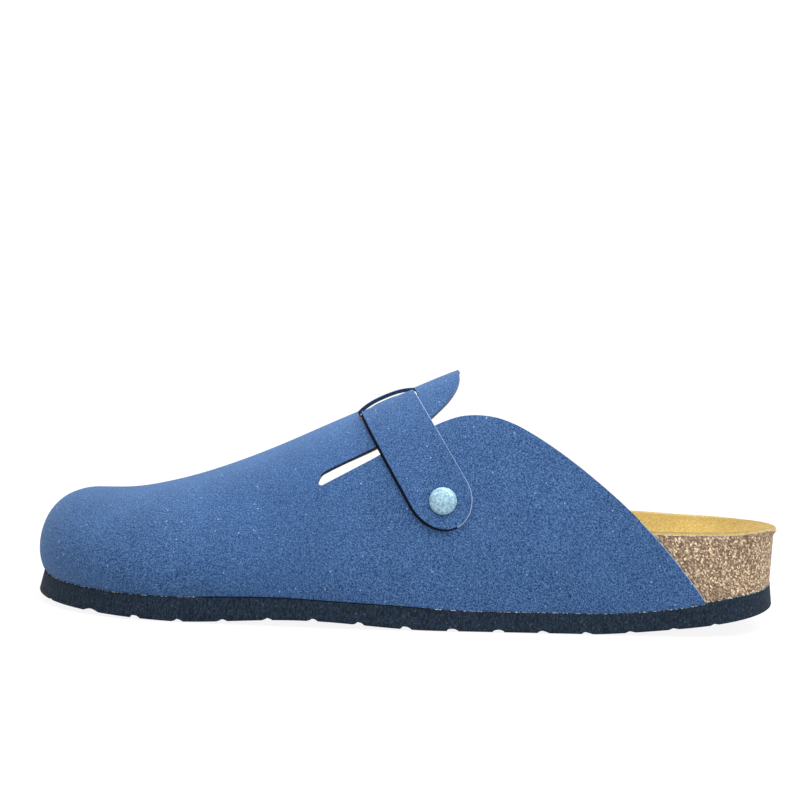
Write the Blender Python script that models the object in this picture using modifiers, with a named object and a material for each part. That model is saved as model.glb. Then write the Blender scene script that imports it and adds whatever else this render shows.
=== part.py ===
"""A left clog mule: closed toe, open heel, one strap held by a rivet, on a cork footbed.

X runs along the shoe with the toe at -X, the outer side of the foot faces -Y, and Z is up.
The origin lies on the floor under the middle of the shoe. Sizes are in millimetres, and
"along" is always the distance from the tip of the toe.
"""

import math
from functools import lru_cache
from typing import NamedTuple

import bmesh
import bpy
import numpy as np
from mathutils import Vector

MM = 0.001

LENGTH = 275.0
MIDDLE = 137.84
MEETING_GAP = 0.3

# Outsole
TOE_SPRING = 2.4
TOE_SPRING_START = 62.0
TOE_SPRING_POWER = 1.3
HEEL_SPRING = 8.3
HEEL_SPRING_START = 204.0
HEEL_SPRING_POWER = 1.35
ARCH_RISE = 2.1
ARCH_START = 58.0
ARCH_END = 150.0
OUTSOLE_TOE_SETBACK = 1.2
OUTSOLE_TOP_TOE_SETBACK = 2.6
OUTSOLE_TOP_SIDE_SETBACK = 1.2
OUTSOLE_HEEL_SETBACK = 0.6
OUTSOLE_TOP_HEEL_SETBACK = 1.3
OUTSOLE_EDGE_ROUND = 0.8
OUTSOLE_EDGE_SHARE = 0.1

# Wavy cross tread
TREAD_FIRST = 13.0
TREAD_PITCH = 15.5
TREAD_COUNT = 16
TREAD_WIDTH = 6.0
TREAD_DEPTH = 1.0
TREAD_FLOOR_SHARE = 0.2
TREAD_WAVE = 3.0
TREAD_WAVE_LENGTH = 25.0
TREAD_REACH = 56.0
TREAD_SEGMENTS = 14

# Plan of the sole
TOE_TIP_SIDE = 6.0
HEEL_TIP_SIDE = -4.4
LATERAL_TOE_ROUND = 57.0
MEDIAL_TOE_ROUND = 48.0
HEEL_ROUND = 38.0
PLAN_ROUND_POWER = 2.2

# Upper
WALL = 1.3
FEATHER_TOE_SETBACK = 3.1
FEATHER_SIDE_SETBACK = 1.6
FEATHER_HEEL_SETBACK = 4.0
TOE_CROWN = 17.0
TOE_CROWN_POWERS = (2.6, 3.5)
BULGE_HEIGHT = 30.0
BULGE_POWER = 0.7
SLIT_START = 106.7
SLIT_HEIGHT = 4.8
SLIT_REAR_HEIGHT = 3.6
SLIT_ROUND = 2.2
MEDIAL_DROP = 3.1
MEDIAL_SLIT_AHEAD = 4.9
MEDIAL_AHEAD_TURN = 0.4
TONGUE_ROUND_START = 145.0
TONGUE_TIP = 155.8
TONGUE_ROUND_POWERS = (1.0, 4.5)
TONGUE_TIP_SHARE = 0.12
QUARTER_END = 242.7

# Strap and the bridge it passes under
STRAP_WIDTH = 21.8
STRAP_THICKNESS = 1.7
STRAP_RIDGE_ALONG = 128.85
STRAP_LEAN = math.radians(32.0)
STRAP_TILT_START = 116.0
STRAP_TO_RIVET = 63.2
STRAP_END_BACK = 2.5
STRAP_END_REACH = 12.8
STRAP_END_BLUNT = 0.16
STRAP_SKEW = 0.43
STRAP_SKEW_REACH = 73.0
STRAP_SKEW_POWER = 1.5
BRIDGE_SHARE = 0.11
SLOT_SHARE = 0.46
SLOT_MARGIN = 0.6
BRIDGE_RISE = 2.0
BRIDGE_POWER = 2.5
BRIDGE_GAP = 0.75

# Rivet
CAP_RADIUS = 4.8
CAP_EDGE = 0.5
CAP_DOME = 1.1
SHANK_RADIUS = 1.5
SHANK_HOLE_RADIUS = 1.85
BACK_PLATE_RADIUS = 3.5
BACK_PLATE_THICKNESS = 0.8
BACK_PLATE_GAP = 0.45
RIVET_STEPS = 20

# Footbed and insole
FOOTBED_TOE_SETBACK = 6.6
FOOTBED_SIDE_SETBACK = 3.7
FOOTBED_HEEL_SETBACK = 1.5
WAIST_HEEL_SETBACK = 0.8
WAIST_SHARE = 0.93
BASE_SIDE_SETBACK = 1.2
WAIST_SIDE_SETBACK = 0.2
RIM_HEEL_SETBACK = 0.0
RIM_SIDE_OVERHANG = 0.6
HEEL_SHOWS_FROM = 242.0
HEEL_SHOWS_FULLY = 264.0
TOE_FIT_FROM = 30.0
TOE_FIT_FULLY = 58.0
DISH_POWER = 3.4
INSOLE_THICKNESS = 1.4
UPPER_CLEARANCE = 0.4


class PlanRow(NamedTuple):
    """Half widths of the sole on either side of the long axis."""

    along: float
    lateral: float
    medial: float


class SoleRow(NamedTuple):
    """Thickness of the outsole."""

    along: float
    thickness: float


class LastRow(NamedTuple):
    """One cross-section of the last under the upper."""

    along: float
    ridge: float
    spine: float
    across: float
    up: float
    bulge: float


class EdgeRow(NamedTuple):
    """Height of the quarter's top edge: lower lip of the slit, then the collar."""

    along: float
    height: float


class BedRow(NamedTuple):
    """Heights of the footbed's dish along its middle and at its two rims."""

    along: float
    middle: float
    lateral_rim: float
    medial_rim: float


PLAN = (
    PlanRow(0.0, 45.0, 44.5),
    PlanRow(30.0, 46.0, 46.6),
    PlanRow(60.0, 47.6, 48.2),
    PlanRow(88.0, 48.4, 48.5),
    PlanRow(112.0, 48.6, 45.4),
    PlanRow(140.0, 47.4, 39.8),
    PlanRow(170.0, 45.0, 34.8),
    PlanRow(200.0, 42.6, 32.4),
    PlanRow(235.0, 40.6, 31.8),
    PlanRow(LENGTH, 39.4, 31.4),
)

SOLE = (
    SoleRow(0.0, 7.6),
    SoleRow(20.0, 7.4),
    SoleRow(36.0, 7.5),
    SoleRow(48.0, 7.7),
    SoleRow(66.0, 8.3),
    SoleRow(84.0, 9.0),
    SoleRow(98.0, 9.2),
    SoleRow(113.0, 8.7),
    SoleRow(138.0, 7.7),
    SoleRow(152.0, 6.9),
    SoleRow(170.0, 6.6),
    SoleRow(205.0, 6.7),
    SoleRow(232.0, 6.7),
    SoleRow(252.0, 7.8),
    SoleRow(LENGTH, 8.0),
)

LAST = (
    LastRow(0.0, 39.5, 6.0, 2.7, 2.3, 2.9),
    LastRow(20.0, 39.7, 5.5, 2.7, 2.3, 2.7),
    LastRow(33.0, 40.3, 5.0, 2.6, 2.25, 2.4),
    LastRow(44.0, 42.4, 4.7, 2.5, 2.2, 2.2),
    LastRow(56.0, 45.7, 4.3, 2.4, 2.15, 2.0),
    LastRow(67.0, 49.5, 4.0, 2.35, 2.1, 1.8),
    LastRow(89.0, 58.7, 3.2, 2.2, 2.05, 1.5),
    LastRow(112.0, 69.7, 2.5, 2.1, 2.0, 1.2),
    LastRow(130.0, 78.1, 2.0, 2.0, 2.0, 0.9),
    LastRow(150.0, 87.5, 1.5, 2.0, 2.0, 0.7),
    LastRow(175.0, 96.5, 1.0, 2.0, 2.0, 0.5),
    LastRow(210.0, 101.5, 0.0, 2.0, 2.0, 0.4),
    LastRow(LENGTH, 103.0, -2.0, 2.0, 2.0, 0.4),
)

QUARTER_EDGE = (
    EdgeRow(101.0, 42.5),
    EdgeRow(SLIT_START, 45.9),
    EdgeRow(128.2, 58.6),
    EdgeRow(147.7, 69.7),
    EdgeRow(156.4, 73.0),
    EdgeRow(162.0, 73.6),
    EdgeRow(171.5, 72.3),
    EdgeRow(182.0, 67.5),
    EdgeRow(203.1, 53.1),
    EdgeRow(222.6, 35.9),
    EdgeRow(234.4, 22.8),
    EdgeRow(244.6, 9.9),
)

BED = (
    BedRow(FOOTBED_TOE_SETBACK, 18.6, 18.6, 18.6),
    BedRow(20.0, 16.0, 18.8, 19.2),
    BedRow(60.0, 14.8, 20.3, 20.8),
    BedRow(100.0, 15.4, 23.0, 24.2),
    BedRow(130.0, 17.8, 26.5, 29.4),
    BedRow(160.0, 20.4, 30.0, 33.2),
    BedRow(200.0, 21.8, 33.4, 35.2),
    BedRow(235.0, 22.0, 34.3, 34.9),
    BedRow(256.0, 24.4, 35.2, 34.3),
    BedRow(268.0, 29.4, 36.1, 34.4),
    BedRow(LENGTH, 34.7, 34.7, 34.7),
)

# Mesh fineness
PLAN_STATIONS = 38
BED_COLUMNS = 8
VAMP_TOE_STATIONS = 9
VAMP_BODY_STATIONS = 9
QUARTER_ROWS = 8
TONGUE_SHARES = (-1.0, -0.82, -0.64, -SLOT_SHARE, -BRIDGE_SHARE, 0.0,
                 BRIDGE_SHARE, SLOT_SHARE, 0.64, 0.82, 1.0)
STRAP_COLUMNS = 6

SUEDE_BLUE = (0.068, 0.140, 0.320, 1.0)
SOLE_NAVY = (0.018, 0.032, 0.051, 1.0)
CORK_BROWN = (0.410, 0.290, 0.180, 1.0)
INSOLE_GOLD = (0.700, 0.480, 0.150, 1.0)
NICKEL = (0.370, 0.580, 0.730, 1.0)

LATERAL = "lateral"
MEDIAL = "medial"


@lru_cache(maxsize=None)
def spline(table, name):
    """Knots, values and second derivatives of the natural cubic through one column."""
    knots = np.array([row.along for row in table])
    values = np.array([getattr(row, name) for row in table])
    steps = np.diff(knots)
    slopes = np.diff(values) / steps
    system = np.eye(len(knots))
    bends = np.zeros(len(knots))
    for k in range(1, len(knots) - 1):
        system[k, k - 1:k + 2] = steps[k - 1], 2.0 * (steps[k - 1] + steps[k]), steps[k]
        bends[k] = 6.0 * (slopes[k] - slopes[k - 1])
    return knots, values, np.linalg.solve(system, bends)


def column(table, name, along):
    """Value of a table's column at any distance from the toe."""
    knots, values, bends = spline(table, name)
    along = np.clip(along, knots[0], knots[-1])
    k = np.clip(np.searchsorted(knots, along) - 1, 0, len(knots) - 2)
    step = knots[k + 1] - knots[k]
    after = (along - knots[k]) / step
    before = 1.0 - after
    bow = (before ** 3 - before) * bends[k] + (after ** 3 - after) * bends[k + 1]
    return before * values[k] + after * values[k + 1] + bow * step ** 2 / 6.0


def ramp(value, start, end):
    """Smooth step from 0 at start to 1 at end."""
    t = np.clip((value - start) / (end - start), 0.0, 1.0)
    return t * t * (3.0 - 2.0 * t)


def rounding(t, power, root=None):
    """Quarter of a superellipse: 0 at t = 0, level with 1 from t = 1 on."""
    inside = np.clip(1.0 - np.clip(t, 0.0, 1.0), 0.0, 1.0)
    return (1.0 - inside ** power) ** (1.0 / (root or power))


def ground(along):
    """Height of the sole's tread: toe spring, level middle, rolled heel."""
    toe = np.clip((TOE_SPRING_START - along) / TOE_SPRING_START, 0.0, None)
    heel = np.clip((along - HEEL_SPRING_START) / (LENGTH - HEEL_SPRING_START), 0.0, None)
    return TOE_SPRING * toe ** TOE_SPRING_POWER + HEEL_SPRING * heel ** HEEL_SPRING_POWER


def sole_height(along, share):
    """Height at a share of the outsole, from its tread face, which rises at the arch."""
    t = np.clip((along - ARCH_START) / (ARCH_END - ARCH_START), 0.0, 1.0)
    arch = ARCH_RISE * np.sin(math.pi * t) ** 2
    thickness = column(SOLE, "thickness", along)
    return ground(along) + thickness * share + arch * (1.0 - share)


def feather(along):
    """Height of the line where the upper stands on the outsole."""
    return sole_height(along, 1.0) + MEETING_GAP


def plan_side(along, side, toe_setback, side_setback, heel_setback):
    """Y of an outline set back from the sole's own, at one distance from the toe."""
    toe_round = LATERAL_TOE_ROUND if side == LATERAL else MEDIAL_TOE_ROUND
    sign = -1.0 if side == LATERAL else 1.0
    from_toe = (along - toe_setback) / toe_round
    from_heel = (LENGTH - heel_setback - along) / HEEL_ROUND
    share = rounding(from_toe, PLAN_ROUND_POWER) * rounding(from_heel, PLAN_ROUND_POWER)
    tip = np.where(along < LENGTH / 2.0, TOE_TIP_SIDE, HEEL_TIP_SIDE)
    edge = sign * (column(PLAN, side, along) - side_setback)
    return tip + (edge - tip) * share


def feather_side(along, side):
    """Y of the upper's lower edge."""
    return plan_side(along, side, FEATHER_TOE_SETBACK, FEATHER_SIDE_SETBACK,
                     FEATHER_HEEL_SETBACK)


def outward(along, side):
    """X and Y of the outline's outward direction, straight ahead at the toe."""
    root = np.sqrt(np.clip(along - FEATHER_TOE_SETBACK, 0.0, None))
    step = 0.02
    ahead = np.clip(root - step, 0.0, None)
    behind = root + step
    run = behind ** 2 - ahead ** 2
    rise = (feather_side(FEATHER_TOE_SETBACK + behind ** 2, side)
            - feather_side(FEATHER_TOE_SETBACK + ahead ** 2, side))
    reach = np.hypot(run, rise)
    sign = -1.0 if side == LATERAL else 1.0
    return -np.abs(rise) / reach * np.where(along < LENGTH / 3.0, 1.0, 0.0), sign * run / reach


def ridge(along):
    """Height of the upper's spine, rounded down to the sole at the toe."""
    rise = rounding((along - FEATHER_TOE_SETBACK) / TOE_CROWN, *TOE_CROWN_POWERS)
    return feather(along) + (column(LAST, "ridge", along) - feather(along)) * rise


def height_at(along, turn):
    """Height on a section; turn runs from -1 at the lateral edge over 0 to 1."""
    lift = np.cos(np.clip(np.abs(turn), 0.0, 1.0) * math.pi / 2.0)
    share = np.clip(lift, 0.0, 1.0) ** (2.0 / column(LAST, "up", along))
    return feather(along) + (ridge(along) - feather(along)) * share


def turn_at(along, height):
    """Turn, without its sign, at which a section reaches a height."""
    share = (height - feather(along)) / (ridge(along) - feather(along))
    lift = np.clip(share, 0.0, 1.0) ** (column(LAST, "up", along) / 2.0)
    return np.arccos(lift) * 2.0 / math.pi


def upper_point(along, turn):
    """Point on the outer face of the upper, as an array of X, Y, Z rows."""
    along, turn = np.broadcast_arrays(np.asarray(along, float), np.asarray(turn, float))
    height = height_at(along, turn)
    reach = np.sin(np.abs(turn) * math.pi / 2.0) ** (2.0 / column(LAST, "across", along))
    spine = column(LAST, "spine", along)
    above = np.clip((height - feather(along)) / BULGE_HEIGHT, 0.0, 1.0)
    bulge = column(LAST, "bulge", along) * np.sin(math.pi * above ** BULGE_POWER)
    lateral_x, lateral_y = outward(along, LATERAL)
    medial_x, medial_y = outward(along, MEDIAL)
    on_lateral = turn < 0.0
    edge = np.where(on_lateral, feather_side(along, LATERAL), feather_side(along, MEDIAL))
    x = along + bulge * np.where(on_lateral, lateral_x, medial_x)
    y = spine + (edge - spine) * reach + bulge * np.where(on_lateral, lateral_y, medial_y)
    return np.stack([x - MIDDLE, y, height], axis=-1)


def upper_normal(along, turn):
    """Outward unit normal of the upper's outer face."""
    step_along, step_turn = 0.2, 0.004
    lengthwise = upper_point(along + step_along, turn) - upper_point(along - step_along, turn)
    crosswise = upper_point(along, turn + step_turn) - upper_point(along, turn - step_turn)
    normal = np.cross(lengthwise, crosswise)
    return normal / np.linalg.norm(normal, axis=-1, keepdims=True)


def slit_ahead(side):
    """How far a slit's front end lies ahead of the lateral one."""
    return 0.0 if side == LATERAL else MEDIAL_SLIT_AHEAD


def row_ahead(turn):
    """How far a row of the vamp ends ahead of its lateral rows."""
    return MEDIAL_SLIT_AHEAD * ramp(turn, -MEDIAL_AHEAD_TURN, MEDIAL_AHEAD_TURN)


def slit_round(along, side):
    """Rounding of a slit's front end, from 0 at the end to 1."""
    return rounding((along + slit_ahead(side) - SLIT_START) / SLIT_ROUND, 2.0)


def quarter_height(along, side):
    """Height of a quarter's top edge, which is lower on the inner side of the foot."""
    closing = 1.0 - slit_round(along, side)
    height = column(QUARTER_EDGE, "height", along) + SLIT_HEIGHT / 2.0 * closing
    return height if side == LATERAL else height - MEDIAL_DROP


def tongue_turn(along, side):
    """Turn of the tongue's free edge: upper lip of the slit, then the rounded tip."""
    before_tip = np.minimum(along, TONGUE_ROUND_START)
    taper = ramp(before_tip, SLIT_START, STRAP_RIDGE_ALONG)
    opening = SLIT_HEIGHT + (SLIT_REAR_HEIGHT - SLIT_HEIGHT) * taper
    lip = quarter_height(before_tip, side) + opening * slit_round(before_tip, side)
    edge = turn_at(before_tip, lip)
    to_tip = (TONGUE_TIP - along) / (TONGUE_TIP - TONGUE_ROUND_START)
    share = rounding(to_tip, *TONGUE_ROUND_POWERS)
    return edge * (TONGUE_TIP_SHARE + (1.0 - TONGUE_TIP_SHARE) * share)


def leaning(station, lean, turn_of):
    """Distance along at which a plane that leans back from a ridge station meets a row.

    turn_of gives the row's turn at any distance along.
    """
    low = np.broadcast_to(station, np.broadcast(station, turn_of(station)).shape).copy()
    high = low + 60.0
    top = ridge(station)
    for _ in range(40):
        middle = (low + high) / 2.0
        past = middle - station > (top - height_at(middle, turn_of(middle))) * np.tan(lean)
        high = np.where(past, middle, high)
        low = np.where(past, low, middle)
    return (low + high) / 2.0


def ridge_station(across_strap):
    """Ridge station of a line that lies this far across from the strap's middle."""
    slope = (ridge(STRAP_RIDGE_ALONG + 1.0) - ridge(STRAP_RIDGE_ALONG - 1.0)) / 2.0
    share = math.cos(STRAP_LEAN) + slope * math.sin(STRAP_LEAN)
    return STRAP_RIDGE_ALONG + across_strap / share


def bridge_rise(across_strap):
    """How far the bridge stands off the tongue, at a distance across the strap."""
    t = np.clip(np.abs(across_strap) / (STRAP_WIDTH / 2.0 + SLOT_MARGIN), 0.0, 1.0)
    return BRIDGE_RISE * (1.0 - t ** BRIDGE_POWER)


def material(name, colour, roughness, metallic=0.0):
    """Plain finish with the piece's colour."""
    finish = bpy.data.materials.new(name)
    finish.use_nodes = True
    shader = finish.node_tree.nodes["Principled BSDF"]
    shader.inputs["Base Color"].default_value = colour
    shader.inputs["Roughness"].default_value = roughness
    shader.inputs["Metallic"].default_value = metallic
    return finish


def mesh_object(name, points, faces, finish, collection):
    """New object from points in millimetres; points that coincide are welded."""
    mesh = bpy.data.meshes.new(name)
    mesh.from_pydata([tuple(point) for point in np.asarray(points) * MM], [], faces)
    work = bmesh.new()
    work.from_mesh(mesh)
    bmesh.ops.remove_doubles(work, verts=work.verts, dist=0.002 * MM)
    bmesh.ops.dissolve_degenerate(work, edges=work.edges, dist=0.002 * MM)
    bmesh.ops.recalc_face_normals(work, faces=work.faces)
    closed = all(edge.is_manifold for edge in work.edges)
    if closed and work.calc_volume(signed=True) < 0.0:
        bmesh.ops.reverse_faces(work, faces=work.faces)
    work.to_mesh(mesh)
    work.free()
    mesh.shade_smooth()
    mesh.set_sharp_from_angle(angle=math.radians(40.0))
    if finish:
        mesh.materials.append(finish)
    piece = bpy.data.objects.new(name, mesh)
    collection.objects.link(piece)
    return piece


def loft(sections):
    """Points and faces of a solid through closed sections that shrink away at both ends."""
    around = len(sections[0])
    faces = []
    for i in range(len(sections) - 1):
        for k in range(around):
            after = (k + 1) % around
            faces.append((i * around + k, i * around + after,
                          (i + 1) * around + after, (i + 1) * around + k))
    return np.concatenate(sections), faces


def plan_shares():
    """Shares of a piece's length, close together at its round ends."""
    angles = np.linspace(0.0, math.pi, PLAN_STATIONS + 1)
    return (1.0 - np.cos(angles)) / 2.0


def rows_between(lateral_edge, medial_edge, columns):
    """Points from one edge to the other, ends included."""
    share = np.linspace(0.0, 1.0, columns + 1)[:, None]
    return lateral_edge * (1.0 - share) + medial_edge * share


def edge_point(along, y, height):
    """One point of a section."""
    return np.array([along - MIDDLE, float(y), float(height)])


def outsole_section(share):
    """Section of the outsole: tread face, rounded lower edge, side that draws in upwards."""
    rings = (
        (OUTSOLE_TOE_SETBACK + OUTSOLE_EDGE_ROUND, OUTSOLE_EDGE_ROUND,
         OUTSOLE_HEEL_SETBACK + OUTSOLE_EDGE_ROUND, 0.0),
        (OUTSOLE_TOE_SETBACK, 0.0, OUTSOLE_HEEL_SETBACK, OUTSOLE_EDGE_SHARE),
        (OUTSOLE_TOP_TOE_SETBACK, OUTSOLE_TOP_SIDE_SETBACK, OUTSOLE_TOP_HEEL_SETBACK, 1.0),
    )
    lateral, medial = [], []
    for toe_setback, side_setback, heel_setback, height_share in rings:
        along = toe_setback + share * (LENGTH - toe_setback - heel_setback)
        height = sole_height(along, height_share)
        setbacks = (toe_setback, side_setback, heel_setback)
        lateral.append(edge_point(along, plan_side(along, LATERAL, *setbacks), height))
        medial.append(edge_point(along, plan_side(along, MEDIAL, *setbacks), height))
    return np.array(lateral[::-1] + medial)


def tread_cutter(collection):
    """Wavy bars across the sole, as deep as the grooves."""
    points, faces = [], []
    sides = np.linspace(-TREAD_REACH, TREAD_REACH, TREAD_SEGMENTS + 1)
    floor = TREAD_FLOOR_SHARE
    corners = ((-0.5, -1.0), (0.5, -1.0), (floor, TREAD_DEPTH), (-floor, TREAD_DEPTH))
    for groove in range(TREAD_COUNT):
        middle = TREAD_FIRST + groove * TREAD_PITCH
        first = len(points)
        for y in sides:
            along = middle + TREAD_WAVE * math.sin(2.0 * math.pi * y / TREAD_WAVE_LENGTH)
            for across, above in corners:
                beside = across * TREAD_WIDTH
                level = sole_height(middle + beside, 0.0)
                points.append(edge_point(along + beside, y, level + above))
        for i in range(TREAD_SEGMENTS):
            start = first + 4 * i
            for k in range(4):
                after = (k + 1) % 4
                faces.append((start + k, start + after, start + 4 + after, start + 4 + k))
        faces.append((first, first + 3, first + 2, first + 1))
        last = len(points) - 4
        faces.append((last, last + 1, last + 2, last + 3))
    return hide_cutter(mesh_object("tread_cutter", points, faces, None, collection))


def hide_cutter(cutter):
    """Mark a piece as a cutter, which isn't part of the shoe."""
    cutter.hide_render = True
    cutter.display_type = "WIRE"
    return cutter


def cut(piece, cutter):
    """Take the cutter's volume out of a piece."""
    difference = piece.modifiers.new("cut_" + cutter.name, "BOOLEAN")
    difference.operation = "DIFFERENCE"
    difference.solver = "EXACT"
    difference.object = cutter


def thicken(piece, thickness, offset):
    """Give an open surface a wall; offset -1 lays it inwards and 1 outwards."""
    wall = piece.modifiers.new("wall", "SOLIDIFY")
    wall.thickness = thickness * MM
    wall.offset = offset
    wall.use_even_offset = True


def build_outsole(parts, cutters):
    """Foam sole with its wavy tread."""
    points, faces = loft([outsole_section(share) for share in plan_shares()])
    finish = material("sole_foam", SOLE_NAVY, 0.85)
    sole = mesh_object("outsole", points, faces, finish, parts)
    cut(sole, tread_cutter(cutters))


def bed_side(along, side, height, toe_setback, heel_setback, overhang):
    """Y of the footbed's side at a height: inside the upper, free behind it."""
    own = plan_side(along, side, toe_setback, FOOTBED_SIDE_SETBACK, heel_setback)
    shows = plan_side(along, side, toe_setback, -overhang, heel_setback)
    sign = -1.0 if side == LATERAL else 1.0
    turn = sign * turn_at(along, height)
    inner = upper_point(along, turn)[..., 1] - sign * (WALL + UPPER_CLEARANCE)
    inside = own + (inner - own) * ramp(along, TOE_FIT_FROM, TOE_FIT_FULLY)
    return inside + (shows - inside) * ramp(along, HEEL_SHOWS_FROM, HEEL_SHOWS_FULLY)


def bed_height(along, across):
    """Height of the footbed's dish; across runs from -1 at the lateral rim to 1."""
    middle = column(BED, "middle", along)
    rim = np.where(across < 0.0, column(BED, "lateral_rim", along),
                   column(BED, "medial_rim", along))
    return middle + (rim - middle) * np.abs(across) ** DISH_POWER


def dish_row(share, lift):
    """Points of the dish from the lateral to the medial rim, lifted off it."""
    along = FOOTBED_TOE_SETBACK + share * (LENGTH - FOOTBED_TOE_SETBACK - RIM_HEEL_SETBACK)
    ends = []
    for side, across in ((LATERAL, -1.0), (MEDIAL, 1.0)):
        rim = bed_height(along, across) + lift
        y = bed_side(along, side, rim, FOOTBED_TOE_SETBACK, RIM_HEEL_SETBACK,
                     RIM_SIDE_OVERHANG)
        ends.append(edge_point(along, y, rim))
    row = rows_between(ends[0], ends[1], BED_COLUMNS)
    row[:, 2] = bed_height(along, np.linspace(-1.0, 1.0, BED_COLUMNS + 1)) + lift
    return row


def footbed_section(share):
    """Section of the footbed: level base on the outsole, sides, dished top."""
    along = (FOOTBED_TOE_SETBACK
             + share * (LENGTH - FOOTBED_TOE_SETBACK - FOOTBED_HEEL_SETBACK))
    top = dish_row(share, 0.0)
    waist_along = (FOOTBED_TOE_SETBACK
                   + share * (LENGTH - FOOTBED_TOE_SETBACK - WAIST_HEEL_SETBACK))
    base = feather(along)
    lower = []
    for side, rim in ((MEDIAL, top[-1, 2]), (LATERAL, top[0, 2])):
        waist = base + (rim - base) * WAIST_SHARE
        lower.append(edge_point(waist_along, bed_side(
            waist_along, side, waist, FOOTBED_TOE_SETBACK, WAIST_HEEL_SETBACK,
            -WAIST_SIDE_SETBACK), waist))
        lower.append(edge_point(along, bed_side(
            along, side, base, FOOTBED_TOE_SETBACK, FOOTBED_HEEL_SETBACK,
            -BASE_SIDE_SETBACK), base))
    return np.array([*top, lower[0], lower[1], lower[3], lower[2]])


def insole_section(share):
    """Section of the insole: a sheet of even thickness over the dish."""
    bed = dish_row(share, 0.0)
    below = dish_row(share, MEETING_GAP)
    above = dish_row(share, MEETING_GAP + INSOLE_THICKNESS)
    narrower = np.abs(bed[:, 1]) < np.abs(above[:, 1])
    below[:, 1] = np.where(narrower, bed[:, 1], above[:, 1])
    above[:, 1] = below[:, 1]
    return np.concatenate([below, above[::-1]])


def build_bed(parts):
    """Cork footbed and the suede sheet that lines it."""
    shares = plan_shares()
    points, faces = loft([footbed_section(share) for share in shares])
    mesh_object("footbed", points, faces, material("cork", CORK_BROWN, 0.9), parts)
    points, faces = loft([insole_section(share) for share in shares])
    mesh_object("insole", points, faces, material("insole_suede", INSOLE_GOLD, 0.95), parts)


class Sheet:
    """Grid points and faces of an open surface, gathered patch by patch."""

    def __init__(self):
        self.points = []
        self.faces = []

    def patch(self, grid, skip=None):
        """Add a grid of points; skip(i, j) leaves a cell open."""
        stations, rows = grid.shape[:2]
        first = len(self.points)
        self.points.extend(grid.reshape(-1, 3))
        for i in range(stations - 1):
            for j in range(rows - 1):
                if skip and skip(i, j):
                    continue
                corner = first + i * rows + j
                self.faces.append((corner, corner + 1, corner + rows + 1, corner + rows))


def quarter_turns(along, side):
    """Turns of a quarter's rows, from its lower edge up to its top edge."""
    top = turn_at(along, quarter_height(along, side))
    share = np.linspace(0.0, 1.0, QUARTER_ROWS + 1)
    return 1.0 + (top - 1.0) * share


def tongue_side(share):
    """Side of the foot on which a row of the tongue lies."""
    return LATERAL if share < 0.0 else MEDIAL


def front_turn(share):
    """Turn of a row of the tongue at the front ends of the slits."""
    side = tongue_side(share)
    return share * tongue_turn(SLIT_START - slit_ahead(side), side)


def vamp_patch():
    """Closed part of the upper, from the toe to the front ends of the slits."""
    toe_reach = LATERAL_TOE_ROUND / 2.0
    angles = np.linspace(0.0, math.pi / 2.0, VAMP_TOE_STATIONS + 1)
    toe = FEATHER_TOE_SETBACK + toe_reach * (1.0 - np.cos(angles))
    body = np.linspace(toe[-1], SLIT_START, VAMP_BODY_STATIONS + 1)[1:]
    slit_lateral = -quarter_turns(SLIT_START, LATERAL)
    tongue = np.array([front_turn(share) for share in TONGUE_SHARES])
    slit_medial = quarter_turns(SLIT_START - MEDIAL_SLIT_AHEAD, MEDIAL)[::-1]
    at_slit = np.concatenate([slit_lateral, tongue[1:-1], slit_medial])
    even = np.linspace(-1.0, 1.0, len(at_slit))
    grid = []
    for along in np.concatenate([toe, body]):
        turns = even + (at_slit - even) * ramp(along, 0.0, SLIT_START)
        ahead = row_ahead(turns) * ramp(along, toe[-1], SLIT_START)
        grid.append(upper_point(along - ahead, turns))
    return np.array(grid)


def slit_stations():
    """Stations round the front end of a slit."""
    return SLIT_START + SLIT_ROUND * np.array([0.0, 0.15, 0.5, 1.0])


def quarter_patch(side):
    """Side of the upper behind the slit's front end."""
    front = SLIT_START - slit_ahead(side)
    stations = np.concatenate([slit_stations() - slit_ahead(side),
                               np.linspace(front, QUARTER_END, 27)[1:]])
    sign = -1.0 if side == LATERAL else 1.0
    return np.array([upper_point(along, sign * quarter_turns(along, side))
                     for along in stations])


def tongue_stations():
    """Ridge stations of the tongue, with its slot ends among them."""
    slot_reach = STRAP_WIDTH / 2.0 + SLOT_MARGIN
    slot = ridge_station(np.linspace(-slot_reach, slot_reach, 9))
    before = np.linspace(SLIT_START + 4.0, slot[0], 3)[:-1]
    angles = np.linspace(0.0, math.pi / 2.0, 8)
    after = slot[-1] + (TONGUE_TIP - slot[-1]) * np.sin(angles)
    return np.concatenate([slit_stations(), before, slot, after[1:]]), len(before) + 4


def tongue_grid():
    """Tongue flap with the bridge raised, and the test for its two slots."""
    stations, slot_first = tongue_stations()
    slope_share = ridge_station(1.0) - STRAP_RIDGE_ALONG
    grid = []
    for station in stations:
        lean = STRAP_LEAN * ramp(station, SLIT_START + SLIT_ROUND, STRAP_TILT_START)
        fade = 1.0 - ramp(station, SLIT_START, stations[slot_first])
        row = []
        for share in TONGUE_SHARES:
            side = tongue_side(share)
            ahead = row_ahead(front_turn(share)) * fade
            behind = slit_ahead(side) * fade - ahead
            along = leaning(station - ahead, lean, lambda s: share * tongue_turn(s - behind, side))
            turn = share * tongue_turn(along - behind, side)
            point = upper_point(along, turn)
            if abs(share) <= BRIDGE_SHARE:
                rise = bridge_rise((station - STRAP_RIDGE_ALONG) / slope_share)
                point = point + upper_normal(along, turn) * rise
            row.append(point)
        grid.append(row)
    slot_rows = [j for j, share in enumerate(TONGUE_SHARES) if share in (-SLOT_SHARE, BRIDGE_SHARE)]

    def in_slot(i, j):
        return j in slot_rows and slot_first <= i < slot_first + 8

    return np.array(grid), in_slot


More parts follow.
